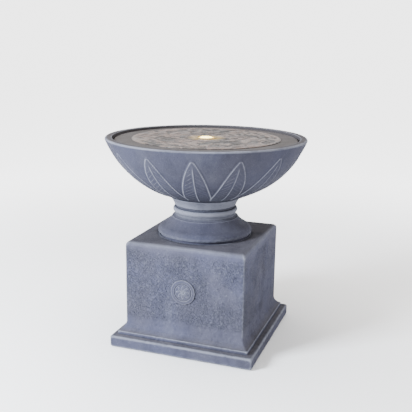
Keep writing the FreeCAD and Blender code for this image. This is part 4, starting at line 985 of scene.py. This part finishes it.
def plinth_rows(s):
    """Rows of points over the plinth, its seat, deck hole and hollow, and which are faces."""
    half = s.body_width / 2
    slab_half = PLINTH_HIGH.x
    slab_z, top_z = PLINTH_LOW.z, PLINTH_HIGH.z
    slab_top = slab_z + s.slab_height
    lip_half = half + s.lip_projection
    lip_top = slab_top + s.weather_fall + s.lip_height
    side = traced([
        (slab_half - s.slab_foot_round, slab_z), swell(s.slab_foot_round),
        (slab_half, slab_z + s.slab_foot_round),
        (slab_half, slab_top - s.slab_round), swell(s.slab_round),
        (slab_half - s.slab_round, slab_top), (lip_half, slab_top + s.weather_fall),
        (lip_half, lip_top - s.lip_round), swell(s.lip_round),
        (lip_half - s.lip_round, lip_top), hollow(s.cove_radius),
        (half, lip_top + s.cove_rise),
        (half, top_z - s.top_round), swell(s.top_round), (half - s.top_round, top_z)],
        0.0028, closed=False, ease=0.0012)

    def square(width, z):
        return level(square_ring(width, s.corner_round, 114, 7), z)

    outside = [square(width, z) for width, z in side]
    directions = np.arctan2(outside[-1][:, 1], outside[-1][:, 0])
    unit = np.column_stack([np.cos(directions), np.sin(directions)])

    def round_row(radius, z):
        return level(unit * radius, z)

    def between(first, last, pieces):
        return [first + (last - first) * k / pieces for k in range(1, pieces)]

    seat_z = top_z - s.seat_depth
    cavity_top = seat_z - s.deck_thickness
    cavity_half = half - s.wall
    chamfer = 0.0012
    rim = round_row(s.seat_radius + chamfer, top_z)
    top = between(outside[-1], rim, 14) + [rim]
    seat = [round_row(s.seat_radius, top_z - chamfer), round_row(s.seat_radius, seat_z)]
    hole = [round_row(s.deck_hole_radius, seat_z), round_row(s.deck_hole_radius, cavity_top)]
    inside = [square(cavity_half, cavity_top), square(cavity_half, slab_z)]
    rows = outside + top + seat + hole
    rows += between(hole[-1], inside[0], 6) + [inside[0]]
    rows += between(inside[0], inside[1], 10) + [inside[1]]
    faces = np.zeros(len(rows))
    body_low = lip_top + s.cove_rise * 0.35
    for index, row in enumerate(outside):
        height = row[0, 2]
        faces[index] = 1.0 if body_low < height < top_z - s.top_round * 0.5 else 0.45
    faces[len(outside):len(outside) + len(top) - 1] = 0.35
    return rows, faces


def make_plinth(s, material):
    """The plinth's casting, with dimpled faces, the lead's hole and the pads' pockets."""
    rows, faces = plinth_rows(s)
    piece = skin("plinth_casting", rows)
    mark_rows(piece, rows, "face", faces)
    recipe = Recipe("hammered_faces")
    seed = recipe.seed()
    depth = recipe.size("Hammer depth", s.hammer_depth)
    spacing = recipe.size("Hammer spacing", s.hammer_spacing)
    face = recipe.attribute("face")
    dimples = recipe.noise(spacing.math("POWER", -1.0), seed, detail=3.0, roughness=0.6,
                           distortion=0.8)
    patches = recipe.noise(16.0, seed, detail=2.0).ramp(0.35, 0.62)
    slow = recipe.noise(9.0, seed, detail=1.0)
    cut = dimples.ramp(0.36, 0.66, -1.0, 0.0) * depth * patches.ramp(0.0, 1.0, 0.35, 1.0)
    half = s.body_width / 2
    x, y, z = parts_of(recipe.tree, recipe.place())
    corner = x.math("ABSOLUTE").math("MINIMUM", y.math("ABSOLUTE"))
    beside_arris = 0.05
    cut = cut * corner.ramp(half - 0.024, half - 0.010, 1.0, beside_arris)
    cut = cut * z.ramp(PLINTH_HIGH.z - 0.034, PLINTH_HIGH.z - 0.016, 1.0, beside_arris)
    recipe.raise_by((cut + (slow - 1.0) * 0.0012) * face)
    recipe.grow(piece, material)
    exit_z = (LEAD_EXIT_LOW.z + LEAD_EXIT_HIGH.z) / 2
    exit_radius = 0.011
    cutters = [rod_piece(exit_radius, half - s.wall - 0.002, half + 0.002, (0.0, exit_z),
                         lying=True)]
    pad_radius = 0.012
    spot = PAD_HIGH.x - pad_radius
    for x in (-spot, spot):
        for y in (-spot, spot):
            cutters.append(rod_piece(pad_radius, PLINTH_LOW.z - 0.001, PAD_HIGH.z, (x, y)))
    bored(piece, cutters)
    mark_edges(piece)
    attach(piece, "base")
    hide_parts("plinth")


def make_medallion(s, material):
    """The raised ring and rosette on the plinth's front."""
    face = -s.body_width / 2
    bed = 0.0018
    ring_inner = s.medallion_radius - s.medallion_ring
    edge = 0.0009
    low, high = -bed, s.medallion_relief
    line = traced([
        (0.0, low), (s.medallion_radius, low), (s.medallion_radius, high - edge), swell(edge),
        (s.medallion_radius - edge, high), (ring_inner + edge, high), swell(edge),
        (ring_inner, high - edge), (ring_inner - 0.001, 0.0004),
        (s.medallion_disc + 0.001, 0.0004), (s.medallion_disc, high - edge), swell(edge),
        (s.medallion_disc - edge, high - 0.0003), (0.0, high - 0.0008)],
        0.0011, closed=False, ease=0.0005)
    rows = circle_rows(line, 180)
    piece = skin("medallion", rows, closed=False)
    recipe = Recipe("rosette")
    petals = recipe.size("Petals", s.petals, "NodeSocketInt")
    reach = recipe.size("Petal circle", s.medallion_disc * 0.50)
    seed = recipe.seed()
    recipe.raise_by((recipe.noise(190.0, seed, detail=3.0) - 0.5) * 0.0007)
    circle = recipe.take("GeometryNodeMeshCircle", {"Vertices": petals, "Radius": reach})
    bead = recipe.take("GeometryNodeMeshUVSphere", {"Segments": 20, "Rings": 12, "Radius": 1.0})
    petal = recipe.take("GeometryNodeTransform", {
        "Geometry": bead, "Scale": (s.medallion_disc * 0.36, s.medallion_disc * 0.17, 0.0016)})
    x, y, _ = parts_of(recipe.tree, recipe.place())
    angle = y.math("ARCTAN2", x)
    spin = recipe.take("ShaderNodeCombineXYZ", {2: angle})
    spread = recipe.take("GeometryNodeInstanceOnPoints",
                         {"Points": circle, "Instance": petal, "Rotation": spin})
    boss = recipe.take("GeometryNodeTransform", {
        "Geometry": bead, "Scale": (s.medallion_disc * 0.15, s.medallion_disc * 0.15, 0.0019)})
    lifted = recipe.add("GeometryNodeJoinGeometry")
    for part in (spread, boss):
        recipe.tree.links.new(part.socket, lifted.inputs[0])
    rosette = recipe.take("GeometryNodeTransform", {
        "Geometry": Term(recipe.tree, lifted.outputs[0]),
        "Translation": (0.0, 0.0, high - 0.0008)})
    whole = recipe.add("GeometryNodeJoinGeometry")
    for part in (recipe.geometry, rosette):
        recipe.tree.links.new(part.socket, whole.inputs[0])
    recipe.geometry = recipe.take("GeometryNodeTransform", {
        "Geometry": Term(recipe.tree, whole.outputs[0]),
        "Translation": (0.0, face, s.medallion_height),
        "Rotation": (math.pi / 2, 0.0, 0.0)})
    recipe.grow(piece, material)
    mark_edges(piece, rounds=2)
    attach(piece, "base")


def foot_outline(s):
    """The turned foot's outline, anticlockwise."""
    foot_z = FOOT_LOW.z
    top_z = BOWL_LOW.z
    flange_radius = FOOT_HIGH.x
    flange_z = foot_z + s.seat_height
    ogee_z = flange_z + s.flange_height
    arris_z = top_z - s.arris_drop
    ogee_top = arris_z - 0.003
    break_radius = flange_radius - (flange_radius - s.arris_radius) * 0.3
    break_z = ogee_z + (ogee_top - ogee_z) * 0.4
    torus_top = top_z - s.torus_drop
    torus_z = torus_top - s.torus_height
    slope = 0.002
    neck_z = torus_top + slope / 2
    spigot_top = top_z + s.spigot_height
    return [
        (s.skirt_radius, foot_z), (s.seat_radius, foot_z),
        (s.seat_radius, flange_z), (flange_radius, flange_z),
        (flange_radius, ogee_z), swell(s.flange_swell),
        (break_radius, break_z), hollow(s.ogee_hollow),
        (s.arris_radius + slope / 2, ogee_top), (s.arris_radius, arris_z),
        (s.groove_radius, arris_z + 2 * slope), (s.groove_radius, torus_z - slope),
        (s.torus_radius, torus_z), swell(s.torus_swell),
        (s.torus_radius, torus_top),
        (s.neck_radius, neck_z), (s.neck_radius, neck_z + 2 * slope),
        (s.neck_radius + 2 * slope, neck_z + 3 * slope), hollow(s.collar_hollow),
        (s.collar_radius, top_z - s.collar_edge), (s.collar_radius, top_z),
        (s.spigot_radius, top_z), (s.spigot_radius, spigot_top),
        (s.bore_radius, spigot_top), (s.bore_radius, ogee_top),
        (s.skirt_radius, flange_z - 1.5 * slope)]


def make_foot(s, material):
    """The turned foot's casting, with a worn arris."""
    rows = circle_rows(traced(foot_outline(s), 0.0022, ease=0.0010), 360)
    piece = skin("foot_casting", rows)
    recipe = Recipe("foot_waves")
    recipe.raise_by(weathered(recipe, 0.0009, 0.0007))
    recipe.grow(piece, material)
    mark_edges(piece)
    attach(piece, "base")
    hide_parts("foot")


def bowl_outline(s):
    """The bowl's outline from the axis below to the axis above."""
    bowl_z, rim_z, rim_radius = BOWL_LOW.z, BOWL_HIGH.z, BOWL_HIGH.x
    recess_z = bowl_z + s.recess_depth
    floor_z = bowl_z + s.floor
    inner = rim_radius - s.rim_width
    outside = [
        (s.recess_radius, recess_z), (s.recess_radius, bowl_z),
        (s.seat_radius, bowl_z), (s.splay_radius, bowl_z + s.splay_rise), swell(s.curve_radius),
        (rim_radius, rim_z - s.rim_round), swell(s.rim_round), (rim_radius - s.rim_round, rim_z)]
    inside = [
        (inner + s.rim_inner_round, rim_z), swell(s.rim_inner_round),
        (inner, rim_z - s.rim_inner_round), (inner, rim_z - s.rim_depth),
        hollow(s.curve_radius - s.wall), (s.seat_radius - s.floor_inset, floor_z)]
    return [(0.0, recess_z)] + outside + inside + [(0.0, floor_z)]


def leaf_relief(recipe, s, tip_run):
    """Carved leaves: a raised body with a ridged edge, a midrib and slanting veins."""
    leaves = recipe.size("Leaves", s.leaves)
    first = recipe.size("First leaf", s.first_leaf)
    breadth = recipe.size("Leaf width", s.leaf_width)
    taper = recipe.size("Leaf taper", s.leaf_taper)
    body = recipe.size("Leaf relief", s.leaf_relief)
    ridge = recipe.size("Ridge relief", s.ridge_relief)
    spacing = recipe.size("Vein spacing", s.vein_spacing)
    tip = recipe.size("Tip", tip_run)
    leaf_length = 0.216
    x, y, _ = parts_of(recipe.tree, recipe.place())
    radius = from_axis(recipe.tree, recipe.place())
    azimuth = x.math("ARCTAN2", -y)
    sector = leaves.math("POWER", -1.0) * (2 * math.pi)
    fall = tip - recipe.attribute("run")
    below = fall.math("MAXIMUM", 0.0)
    width = below * breadth * (-(below / taper)).math("EXPONENT")
    width = width.math("MINIMUM", sector * radius * 0.49)
    offset = (((azimuth - first) / sector + 0.5).math("FRACT") - 0.5) * sector * radius
    across = offset.math("ABSOLUTE")
    gap = width - across
    here = fall.ramp(0.0, 0.004) * fall.ramp(leaf_length - 0.020, leaf_length, 1.0, 0.0)
    inside = gap.ramp(-0.0005, 0.006) * here
    rim = gap.ridge(0.0024) * here
    outside_groove = (gap + 0.0045).ridge(0.0028) * here
    rib_here = fall.ramp(0.012, 0.030) * here * inside
    rib = offset.ridge(0.0022) * rib_here
    vein_place = (((fall - across * 0.9) / spacing).math("FRACT") - 0.5) * spacing
    vein_here = gap.ramp(0.002, 0.006) * across.ramp(0.002, 0.004) * rib_here
    vein = vein_place.ridge(0.0016) * vein_here
    height = inside * body + rim * ridge + rib * ridge + vein * ridge * 0.35
    height = height - outside_groove * body * 0.5
    hidden = (here - 1.0) * -0.05
    recipe.store("leaf_edge", gap.math("ABSOLUTE") + hidden)
    recipe.store("leaf_rib", across + (rib_here - 1.0) * -0.01)
    recipe.store("leaf_vein", vein_place.math("ABSOLUTE") + (vein_here - 1.0) * -0.01)
    return height


def make_bowl(s, material):
    """The bowl's casting, carved with leaves, with the lead's hole."""
    line = traced(bowl_outline(s), 0.0024, closed=False, ease=0.0010)
    rows = circle_rows(line, 640)
    piece = skin("bowl_casting", rows, closed=False)
    run = run_along(line)
    tip_z = BOWL_HIGH.z - s.leaf_drop
    outer = [index for index in range(len(line)) if line[index, 1] <= tip_z]
    crest = int(np.argmax(line[:, 1] >= BOWL_HIGH.z - 1e-6))
    tip = max(index for index in outer if index < crest)
    mark_rows(piece, rows, "run", run)
    mark_rows(piece, rows, "inside", (line[:, 0] < BOWL_HIGH.x - s.rim_width + 0.0005)
              * (np.arange(len(line)) > crest) * 1.0)
    recipe = Recipe("carved_leaves")
    carved = leaf_relief(recipe, s, float(run[tip]))
    recipe.raise_by(weathered(recipe, 0.0010, 0.0006) + carved)
    recipe.grow(piece, material)
    spot = (CONNECTOR_LOW.y + CONNECTOR_HIGH.y) / 2
    hole = rod_piece(s.lead_hole_radius, BOWL_LOW.z, BOWL_LOW.z + s.floor + 0.004, (0.0, spot))
    bored(piece, [hole])
    mark_edges(piece)
    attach(piece, "bowl_unit")
    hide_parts("bowl")


def ledge_rows(s, top):
    """Rows of points over one ledge, whose outer end follows the middle of the bowl's wall."""
    centre_z, centre_r = bowl_curve_centre(s)
    near = BOWL_HIGH.x - s.rim_width - s.lug_reach
    half, across = s.lug_width / 2, 12
    y = np.linspace(-half, half, across)
    rows = []
    for z in np.linspace(top - s.lug_height, top, 9):
        reach = math.sqrt((s.curve_radius - s.wall / 2) ** 2 - (z - centre_z) ** 2)
        far = centre_r + reach
        x = np.linspace(near, far, across + 3)[1:-1]
        ring = [(far, value) for value in y] + [(value, half) for value in x[::-1]]
        ring += [(near, value) for value in y[::-1]] + [(value, -half) for value in x]
        rows.append(level(np.array(ring), z))
    middle = np.array([[(near + rows[-1][0, 0]) / 2, 0.0, 0.0]])
    ends = []
    for row in (rows[0], rows[-1]):
        heart = middle + [0.0, 0.0, row[0, 2]]
        ends.append([heart + (row - heart) * step / 5 for step in range(1, 5)])
        ends[-1].insert(0, heart)
    return ends[0] + rows + ends[1][::-1]


def bowl_curve_centre(s):
    """Height and radius of the centre of the bowl's outside curve."""
    low = np.array([s.splay_radius, BOWL_LOW.z + s.splay_rise])
    high = np.array([BOWL_HIGH.x, BOWL_HIGH.z - s.rim_round])
    half = np.linalg.norm(high - low) / 2
    left = np.array([low[1] - high[1], high[0] - low[0]]) / (2 * half)
    radius, height = (low + high) / 2 + left * math.sqrt(s.curve_radius ** 2 - half ** 2)
    return height, radius


def make_ledges(s, material):
    """Four small ledges inside the bowl, which carry the lid."""
    piece = skin("lid_ledges", ledge_rows(s, LID_PADS_LOW.z), closed=False)
    recipe = Recipe("ledges")
    number = recipe.size("Ledges", 4, "NodeSocketInt")
    seed = recipe.seed()
    turn_each = recipe.take("GeometryNodeMeshCircle", {"Vertices": number, "Radius": 1.0})
    x, y, _ = parts_of(recipe.tree, recipe.place())
    spin = recipe.take("ShaderNodeCombineXYZ", {2: y.math("ARCTAN2", x)})
    at_axis = recipe.take("GeometryNodeSetPosition",
                          {"Geometry": recipe.take("GeometryNodeInstanceOnPoints", {
                              "Points": turn_each, "Instance": recipe.geometry,
                              "Rotation": spin}),
                           "Position": recipe.take("ShaderNodeCombineXYZ")})
    recipe.geometry = recipe.take("GeometryNodeRealizeInstances", {0: at_axis})
    recipe.raise_by((recipe.noise(120.0, seed, detail=3.0) - 1.0) * 0.0012)
    recipe.store("inside", 1.0)
    recipe.grow(piece, material)
    mark_edges(piece)
    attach(piece, "bowl_unit")


def make_lid(s, material):
    """The lid's casting, with a rippled disc."""
    hole = GROMMET_HIGH.x - 0.003
    radius, low, disc_top = LID_HIGH.x, LID_LOW.z, LID_HIGH.z
    top = disc_top - s.disc_rise
    disc = radius - s.border
    line = traced([
        (hole, low), (radius, low), (radius, top - s.edge_round), swell(s.edge_round),
        (radius - s.edge_round, top), (disc, top), (disc, disc_top - s.disc_chamfer),
        (disc - s.disc_chamfer, disc_top), (hole, disc_top)], 0.0022)
    rows = circle_rows(line, 600)
    piece = skin("lid_casting", rows)
    on_top = (line[:, 1] > top + s.disc_rise * 0.3) & (line[:, 0] < disc + 0.0005)
    inner_fade = np.clip((line[:, 0] - hole - 0.004) / 0.006, 0, 1)
    outer_fade = np.clip((disc - 0.0012 - line[:, 0]) / 0.004, 0, 1)
    mark_rows(piece, rows, "disc", on_top * 1.0)
    mark_rows(piece, rows, "swirl", on_top * inner_fade * outer_fade)
    recipe = Recipe("rippled_disc")
    seed = recipe.seed()
    depth = recipe.size("Ripple depth", s.ripple_depth)
    spacing = recipe.size("Ripple spacing", s.ripple_spacing)
    reach = from_axis(recipe.tree, recipe.place())
    warp = recipe.noise(7.0, seed, detail=3.0, roughness=0.6)
    drift = recipe.noise(22.0, seed, detail=4.0, roughness=0.6, distortion=0.8)
    phase = (reach + (warp - 0.5) * 0.28 + (drift - 0.5) * 0.070) / spacing
    waves = (phase * (2 * math.pi)).math("SINE").ramp(-0.8, 0.95)
    lumps = recipe.noise(15.0, seed, detail=5.0, roughness=0.62, distortion=0.9)
    ripple = waves * 0.5 + lumps.ramp(0.34, 0.66) * 0.5
    swirl = recipe.attribute("swirl")
    edge_ridge = (reach - (disc - 0.007)).ridge(0.0045)
    ripple = (ripple + edge_ridge * 0.5).math("MINIMUM", 1.0)
    recipe.store("ripple", ripple)
    recipe.raise_by((ripple - 0.62) * depth * swirl)
    recipe.grow(piece, material)
    mark_edges(piece)
    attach(piece, "lid_unit")
    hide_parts("lid")


def make_water(s, material):
    """The low mound of water that wells up over the nozzle and the light."""
    base, top = LENS_HIGH.z, CAD_BOUNDS[1][2] - 0.0002
    steps = 26
    edge = 0.0006
    line = [(0.0, base)] + [(s.mound_radius * k / 6, base) for k in range(1, 7)]
    for k in range(steps):
        share_in = k / steps
        radius = s.mound_radius * (1 - share_in)
        skirt = 0.45 * (1 - (radius / s.mound_radius) ** 6)
        peak = 0.55 * math.exp(-(radius / s.mound_core) ** 4)
        line.append((radius, base + edge + (top - base - edge) * (skirt + peak)))
    line.append((0.0, top))
    rows = circle_rows(np.array(line), 120)
    piece = skin("water_mound", rows, closed=False)
    recipe = Recipe("welling_water")
    seed = recipe.seed()
    _, _, z = parts_of(recipe.tree, recipe.place())
    above = z.ramp(base + edge, base + 3 * edge)
    recipe.raise_by((recipe.noise(210.0, seed, detail=2.0) - 0.85) * above * 0.0030)
    recipe.grow(piece, material)
    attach(piece, "bowl_unit")


# ---------------------------------------------------------------- stage

def area_light(name, place, target, across, power, tint):
    """A soft square light that looks at a point."""
    data = bpy.data.lights.new(name, "AREA")
    data.shape = "SQUARE"
    data.size = across
    data.energy = power
    data.color = tint
    light = bpy.data.objects.new(name, data)
    light.location = place
    light.rotation_euler = (Vector(target) - Vector(place)).to_track_quat("-Z", "Y").to_euler()
    bpy.context.scene.collection.objects.link(light)


def make_camera(s):
    """The camera, from its azimuth, distance, height, pitch and roll."""
    data = bpy.data.cameras.new("view")
    data.lens = s.lens
    data.sensor_width = 36.0
    camera = bpy.data.objects.new("view", data)
    camera.location = (s.distance * math.sin(s.azimuth), -s.distance * math.cos(s.azimuth),
                       s.height)
    aim = Euler((math.pi / 2 - s.pitch, 0.0, s.azimuth + s.yaw))
    twist = Euler((0.0, 0.0, s.roll))
    camera.rotation_euler = (aim.to_matrix() @ twist.to_matrix()).to_euler()
    bpy.context.scene.collection.objects.link(camera)
    bpy.context.scene.camera = camera


def make_world(strength, paper):
    """Even pale surroundings, brighter where they are seen as the backdrop."""
    world = bpy.data.worlds.new("studio")
    world.use_nodes = True
    tree = world.node_tree
    sky = tree.nodes["Background"]
    sky.inputs["Color"].default_value = opaque((1.0, 1.0, 1.0))
    path = add(tree, "ShaderNodeLightPath")
    seen = Term(tree, path.outputs["Is Camera Ray"])
    feed(tree, sky.inputs["Strength"], seen.ramp(0.0, 1.0, strength, paper, smooth=False))
    bpy.context.scene.world = world


def make_floor(material):
    """A plain pale floor."""
    half = 60.0
    mesh = bpy.data.meshes.new("studio_floor")
    ring = [(half, -half, 0.0), (half, half, 0.0), (-half, half, 0.0), (-half, -half, 0.0)]
    mesh.from_pydata(ring, [], [(0, 1, 2, 3)])
    mesh.materials.append(material)
    floor = bpy.data.objects.new("studio_floor", mesh)
    bpy.context.scene.collection.objects.link(floor)


# ---------------------------------------------------------------- operators

class FOUNTAIN_OT_stage(bpy.types.Operator):
    """Set up the camera, the soft lights and the pale floor"""

    bl_idname = "fountain.stage"
    bl_label = "Stage"

    def execute(self, context):
        s = context.scene.fountain_stage
        make_camera(s)
        make_world(s.sky, s.paper)
        make_floor(floor_paper("studio_paper"))
        middle = (0.0, 0.0, 0.33)
        area_light("key_light", (-1.7, -2.1, 1.5), middle, 0.9, s.key, (0.86, 0.92, 1.0))
        area_light("top_light", (-0.15, 0.05, 1.55), (0.0, 0.0, 0.5), 0.9, s.top,
                   (1.0, 0.95, 0.90))
        area_light("side_light", (2.4, 0.4, 1.5), middle, 1.4, s.rim, (1.0, 0.97, 0.94))
        return {"FINISHED"}


class FOUNTAIN_OT_plinth(bpy.types.Operator):
    """Cast the square moulded plinth"""

    bl_idname = "fountain.plinth"
    bl_label = "Plinth"

    def execute(self, context):
        faces = (PLINTH_LOW.z + 0.075, PLINTH_HIGH.z - 0.012)
        # The plinth's colours are scaled up as a painted light level, with a painted shadow ring
        # around the foot's seat.
        material = stone("plinth_stone", context.scene.fountain_colours, shade=1.08,
                         hammered=faces, shadow_ring=(0.132, 0.143))
        make_plinth(context.scene.fountain_plinth, material)
        return {"FINISHED"}


class FOUNTAIN_OT_medallion(bpy.types.Operator):
    """Add the rosette on the plinth's front"""

    bl_idname = "fountain.medallion"
    bl_label = "Medallion"

    def execute(self, context):
        # The medallion's colours are scaled down as a painted light level.
        material = stone("medallion_stone", context.scene.fountain_colours, shade=0.9)
        make_medallion(context.scene.fountain_plinth, material)
        return {"FINISHED"}


class FOUNTAIN_OT_foot(bpy.types.Operator):
    """Turn the foot between plinth and bowl"""

    bl_idname = "fountain.foot"
    bl_label = "Foot"

    def execute(self, context):
        settings = context.scene.fountain_foot
        # The foot's colours are scaled down as a painted light level, with a painted top-light
        # tint, a painted highlight from the arris up and painted shadow in its grooves.
        material = stone("foot_stone", context.scene.fountain_colours, shade=0.76,
                         top_light_share=0.15, lit_band_from=BOWL_LOW.z - settings.arris_drop,
                         shadow_ring=(settings.neck_radius + 0.0005, settings.torus_radius))
        make_foot(settings, material)
        return {"FINISHED"}


class FOUNTAIN_OT_bowl(bpy.types.Operator):
    """Cast the bowl with its carved leaves and the lid's ledges"""

    bl_idname = "fountain.bowl"
    bl_label = "Bowl"

    def execute(self, context):
        s = context.scene.fountain_bowl
        # The bowl and its ledges take darker colours as a painted light level; the bowl also gets a
        # painted top-light tint and painted shade towards its underside.
        make_bowl(s, stone("bowl_stone", context.scene.fountain_colours, shade=0.66, top_light_share=0.9,
                           carved=True, shade_below=(BOWL_LOW.z, BOWL_LOW.z + 0.08)))
        make_ledges(s, stone("ledge_stone", context.scene.fountain_colours, shade=0.66))
        return {"FINISHED"}


class FOUNTAIN_OT_lid(bpy.types.Operator):
    """Cast the lid with its rippled disc"""

    bl_idname = "fountain.lid"
    bl_label = "Lid"

    def execute(self, context):
        make_lid(context.scene.fountain_lid, wet_stone("lid_stone",
                                                       context.scene.fountain_colours))
        return {"FINISHED"}


class FOUNTAIN_OT_water(bpy.types.Operator):
    """Let the lit water well up over the nozzle"""

    bl_idname = "fountain.water"
    bl_label = "Water"

    def execute(self, context):
        s = context.scene.fountain_lid
        colours = context.scene.fountain_colours
        make_water(s, lit_water("lit_water", colours, s.mound_core))
        return {"FINISHED"}


class FOUNTAIN_OT_rubber(bpy.types.Operator):
    """Finish the pads, grommets, seals, cups and bung in rubber"""

    bl_idname = "fountain.rubber"
    bl_label = "Rubber parts"

    def execute(self, context):
        black = moulded("black_rubber", (0.018, 0.018, 0.019), (0.030, 0.029, 0.028), 0.62,
                        0.0002, 700.0)
        grey = moulded("grey_rubber", (0.15, 0.15, 0.155), (0.11, 0.11, 0.115), 0.66, 0.0002,
                       700.0)
        colours = context.scene.fountain_colours
        # The grommet glows faintly in the light's colour: painted light from the lamp.
        lit = moulded("lid_rubber", (0.060, 0.053, 0.046), (0.040, 0.035, 0.030), 0.55, 0.0002,
                      700.0, Emission_Color=opaque(colours.glow), Emission_Strength=0.35)
        dress(lit, "lid_grommet")
        dress(black, "foot_pads", "rear_grommet", "seat_pads", "lid_pads", "suction_cups",
              "cable_bung")
        dress(grey, "connector_seal", "connector_washer", "volute_seal")
        return {"FINISHED"}


class FOUNTAIN_OT_pump(bpy.types.Operator):
    """Finish the pump's moulded casing, strainer, dial, glands and lead connector"""

    bl_idname = "fountain.pump"
    bl_label = "Pump casing"

    def execute(self, context):
        casing = moulded("pump_plastic", (0.022, 0.024, 0.028), (0.032, 0.034, 0.038), 0.42)
        cage = moulded("strainer_plastic", (0.030, 0.032, 0.036), (0.045, 0.047, 0.050), 0.5)
        dial = moulded("dial_plastic", (0.020, 0.115, 0.300), (0.030, 0.150, 0.360), 0.36)
        fitting = moulded("connector_plastic", (0.060, 0.062, 0.066), (0.040, 0.041, 0.044),
                          0.48)
        dress(casing, "motor_housing", "volute_cover", "cable_gland")
        dress(cage, "strainer")
        dress(dial, "flow_dial")
        dress(sponge("sponge"), "prefilter")
        dress(fitting, "connector_body", "connector_nut")
        return {"FINISHED"}


class FOUNTAIN_OT_motor(bpy.types.Operator):
    """Finish the stator, windings, resin, rotor, bushes and screws"""

    bl_idname = "fountain.motor"
    bl_label = "Motor"

    def execute(self, context):
        dress(banded("laminated_steel", (0.42, 0.42, 0.43), (0.10, 0.09, 0.09), "X", 0.0010, 0.9,
                     0.42, 0.00008), "stator_core")
        dress(moulded("bobbin_nylon", (0.62, 0.60, 0.54), (0.55, 0.53, 0.47), 0.5,
                      Subsurface_Weight=0.08, Subsurface_Scale=0.003), "coil_bobbins")
        dress(banded("copper_wire", (0.72, 0.28, 0.10), (0.22, 0.06, 0.02), "Z", 0.0007, 1.0,
                     0.26, 0.00016), "coil_windings")
        dress(resin("potting_resin"), "potting")
        dress(ceramic("white_ceramic"), "rotor_shaft", "rear_bush", "front_bush")
        dress(ferrite("ferrite"), "rotor_magnet")
        dress(moulded("impeller_plastic", (0.40, 0.41, 0.42), (0.34, 0.35, 0.36), 0.4),
              "impeller")
        dress(metal("stainless", (0.58, 0.57, 0.55), (0.40, 0.38, 0.35), 0.24,
                    (1.0, 0.08, 1.0)), "cover_screws", "riser_clips")
        return {"FINISHED"}


class FOUNTAIN_OT_light(bpy.types.Operator):
    """Finish the riser, the nozzle and the ring light"""

    bl_idname = "fountain.light"
    bl_label = "Riser and ring light"

    def execute(self, context):
        colours = context.scene.fountain_colours
        dress(clear("clear_tube", (0.86, 0.91, 0.90), 0.10, 0.7), "riser_tube")
        dress(metal("nozzle_brass", (0.62, 0.44, 0.16), (0.30, 0.20, 0.08), 0.28,
                    (0.2, 0.2, 1.0)), "nozzle")
        dress(moulded("light_housing", (0.035, 0.036, 0.038), (0.050, 0.051, 0.053), 0.46),
              "led_housing", "led_gland")
        dress(circuit_board("board_green"), "led_board")
        dress(lamp("emitter_yellow", colours, 12.0), "led_emitters")
        dress(clear("clear_lens", (0.95, 0.90, 0.74), 0.18, 0.5), "led_lens")
        return {"FINISHED"}


OPERATORS = (FOUNTAIN_OT_stage, FOUNTAIN_OT_plinth, FOUNTAIN_OT_medallion, FOUNTAIN_OT_foot,
             FOUNTAIN_OT_bowl, FOUNTAIN_OT_lid, FOUNTAIN_OT_water, FOUNTAIN_OT_rubber,
             FOUNTAIN_OT_pump, FOUNTAIN_OT_motor, FOUNTAIN_OT_light)


class FOUNTAIN_PT_panel(bpy.types.Panel):
    """Lists the fountain's steps and settings"""

    bl_idname = "FOUNTAIN_PT_panel"
    bl_label = "Bowl Fountain"
    bl_space_type = "VIEW_3D"
    bl_region_type = "UI"
    bl_category = "Fountain"

    def draw(self, context):
        for operator in OPERATORS:
            self.layout.operator(operator.bl_idname, text=operator.bl_label)
        for name, group in SETTINGS.items():
            box = self.layout.box()
            box.label(text=group.__doc__)
            for setting in group.__annotations__:
                box.prop(getattr(context.scene, name), setting)


CLASSES = (*SETTINGS.values(), *OPERATORS, FOUNTAIN_PT_panel)


def register():
    """Registers the classes and hangs the settings on the scene."""
    for cls in CLASSES:
        bpy.utils.register_class(cls)
    for name, group in SETTINGS.items():
        setattr(bpy.types.Scene, name, bpy.props.PointerProperty(type=group))


def unregister():
    """Takes the settings and the classes away again."""
    for name in SETTINGS:
        delattr(bpy.types.Scene, name)
    for cls in reversed(CLASSES):
        bpy.utils.unregister_class(cls)


def main():
    """Builds the whole fountain."""
    register()
    for operator in OPERATORS:
        group, name = operator.bl_idname.split(".")
        getattr(getattr(bpy.ops, group), name)()
    bpy.context.view_layer.update()


if __name__ == "__main__":
    main()
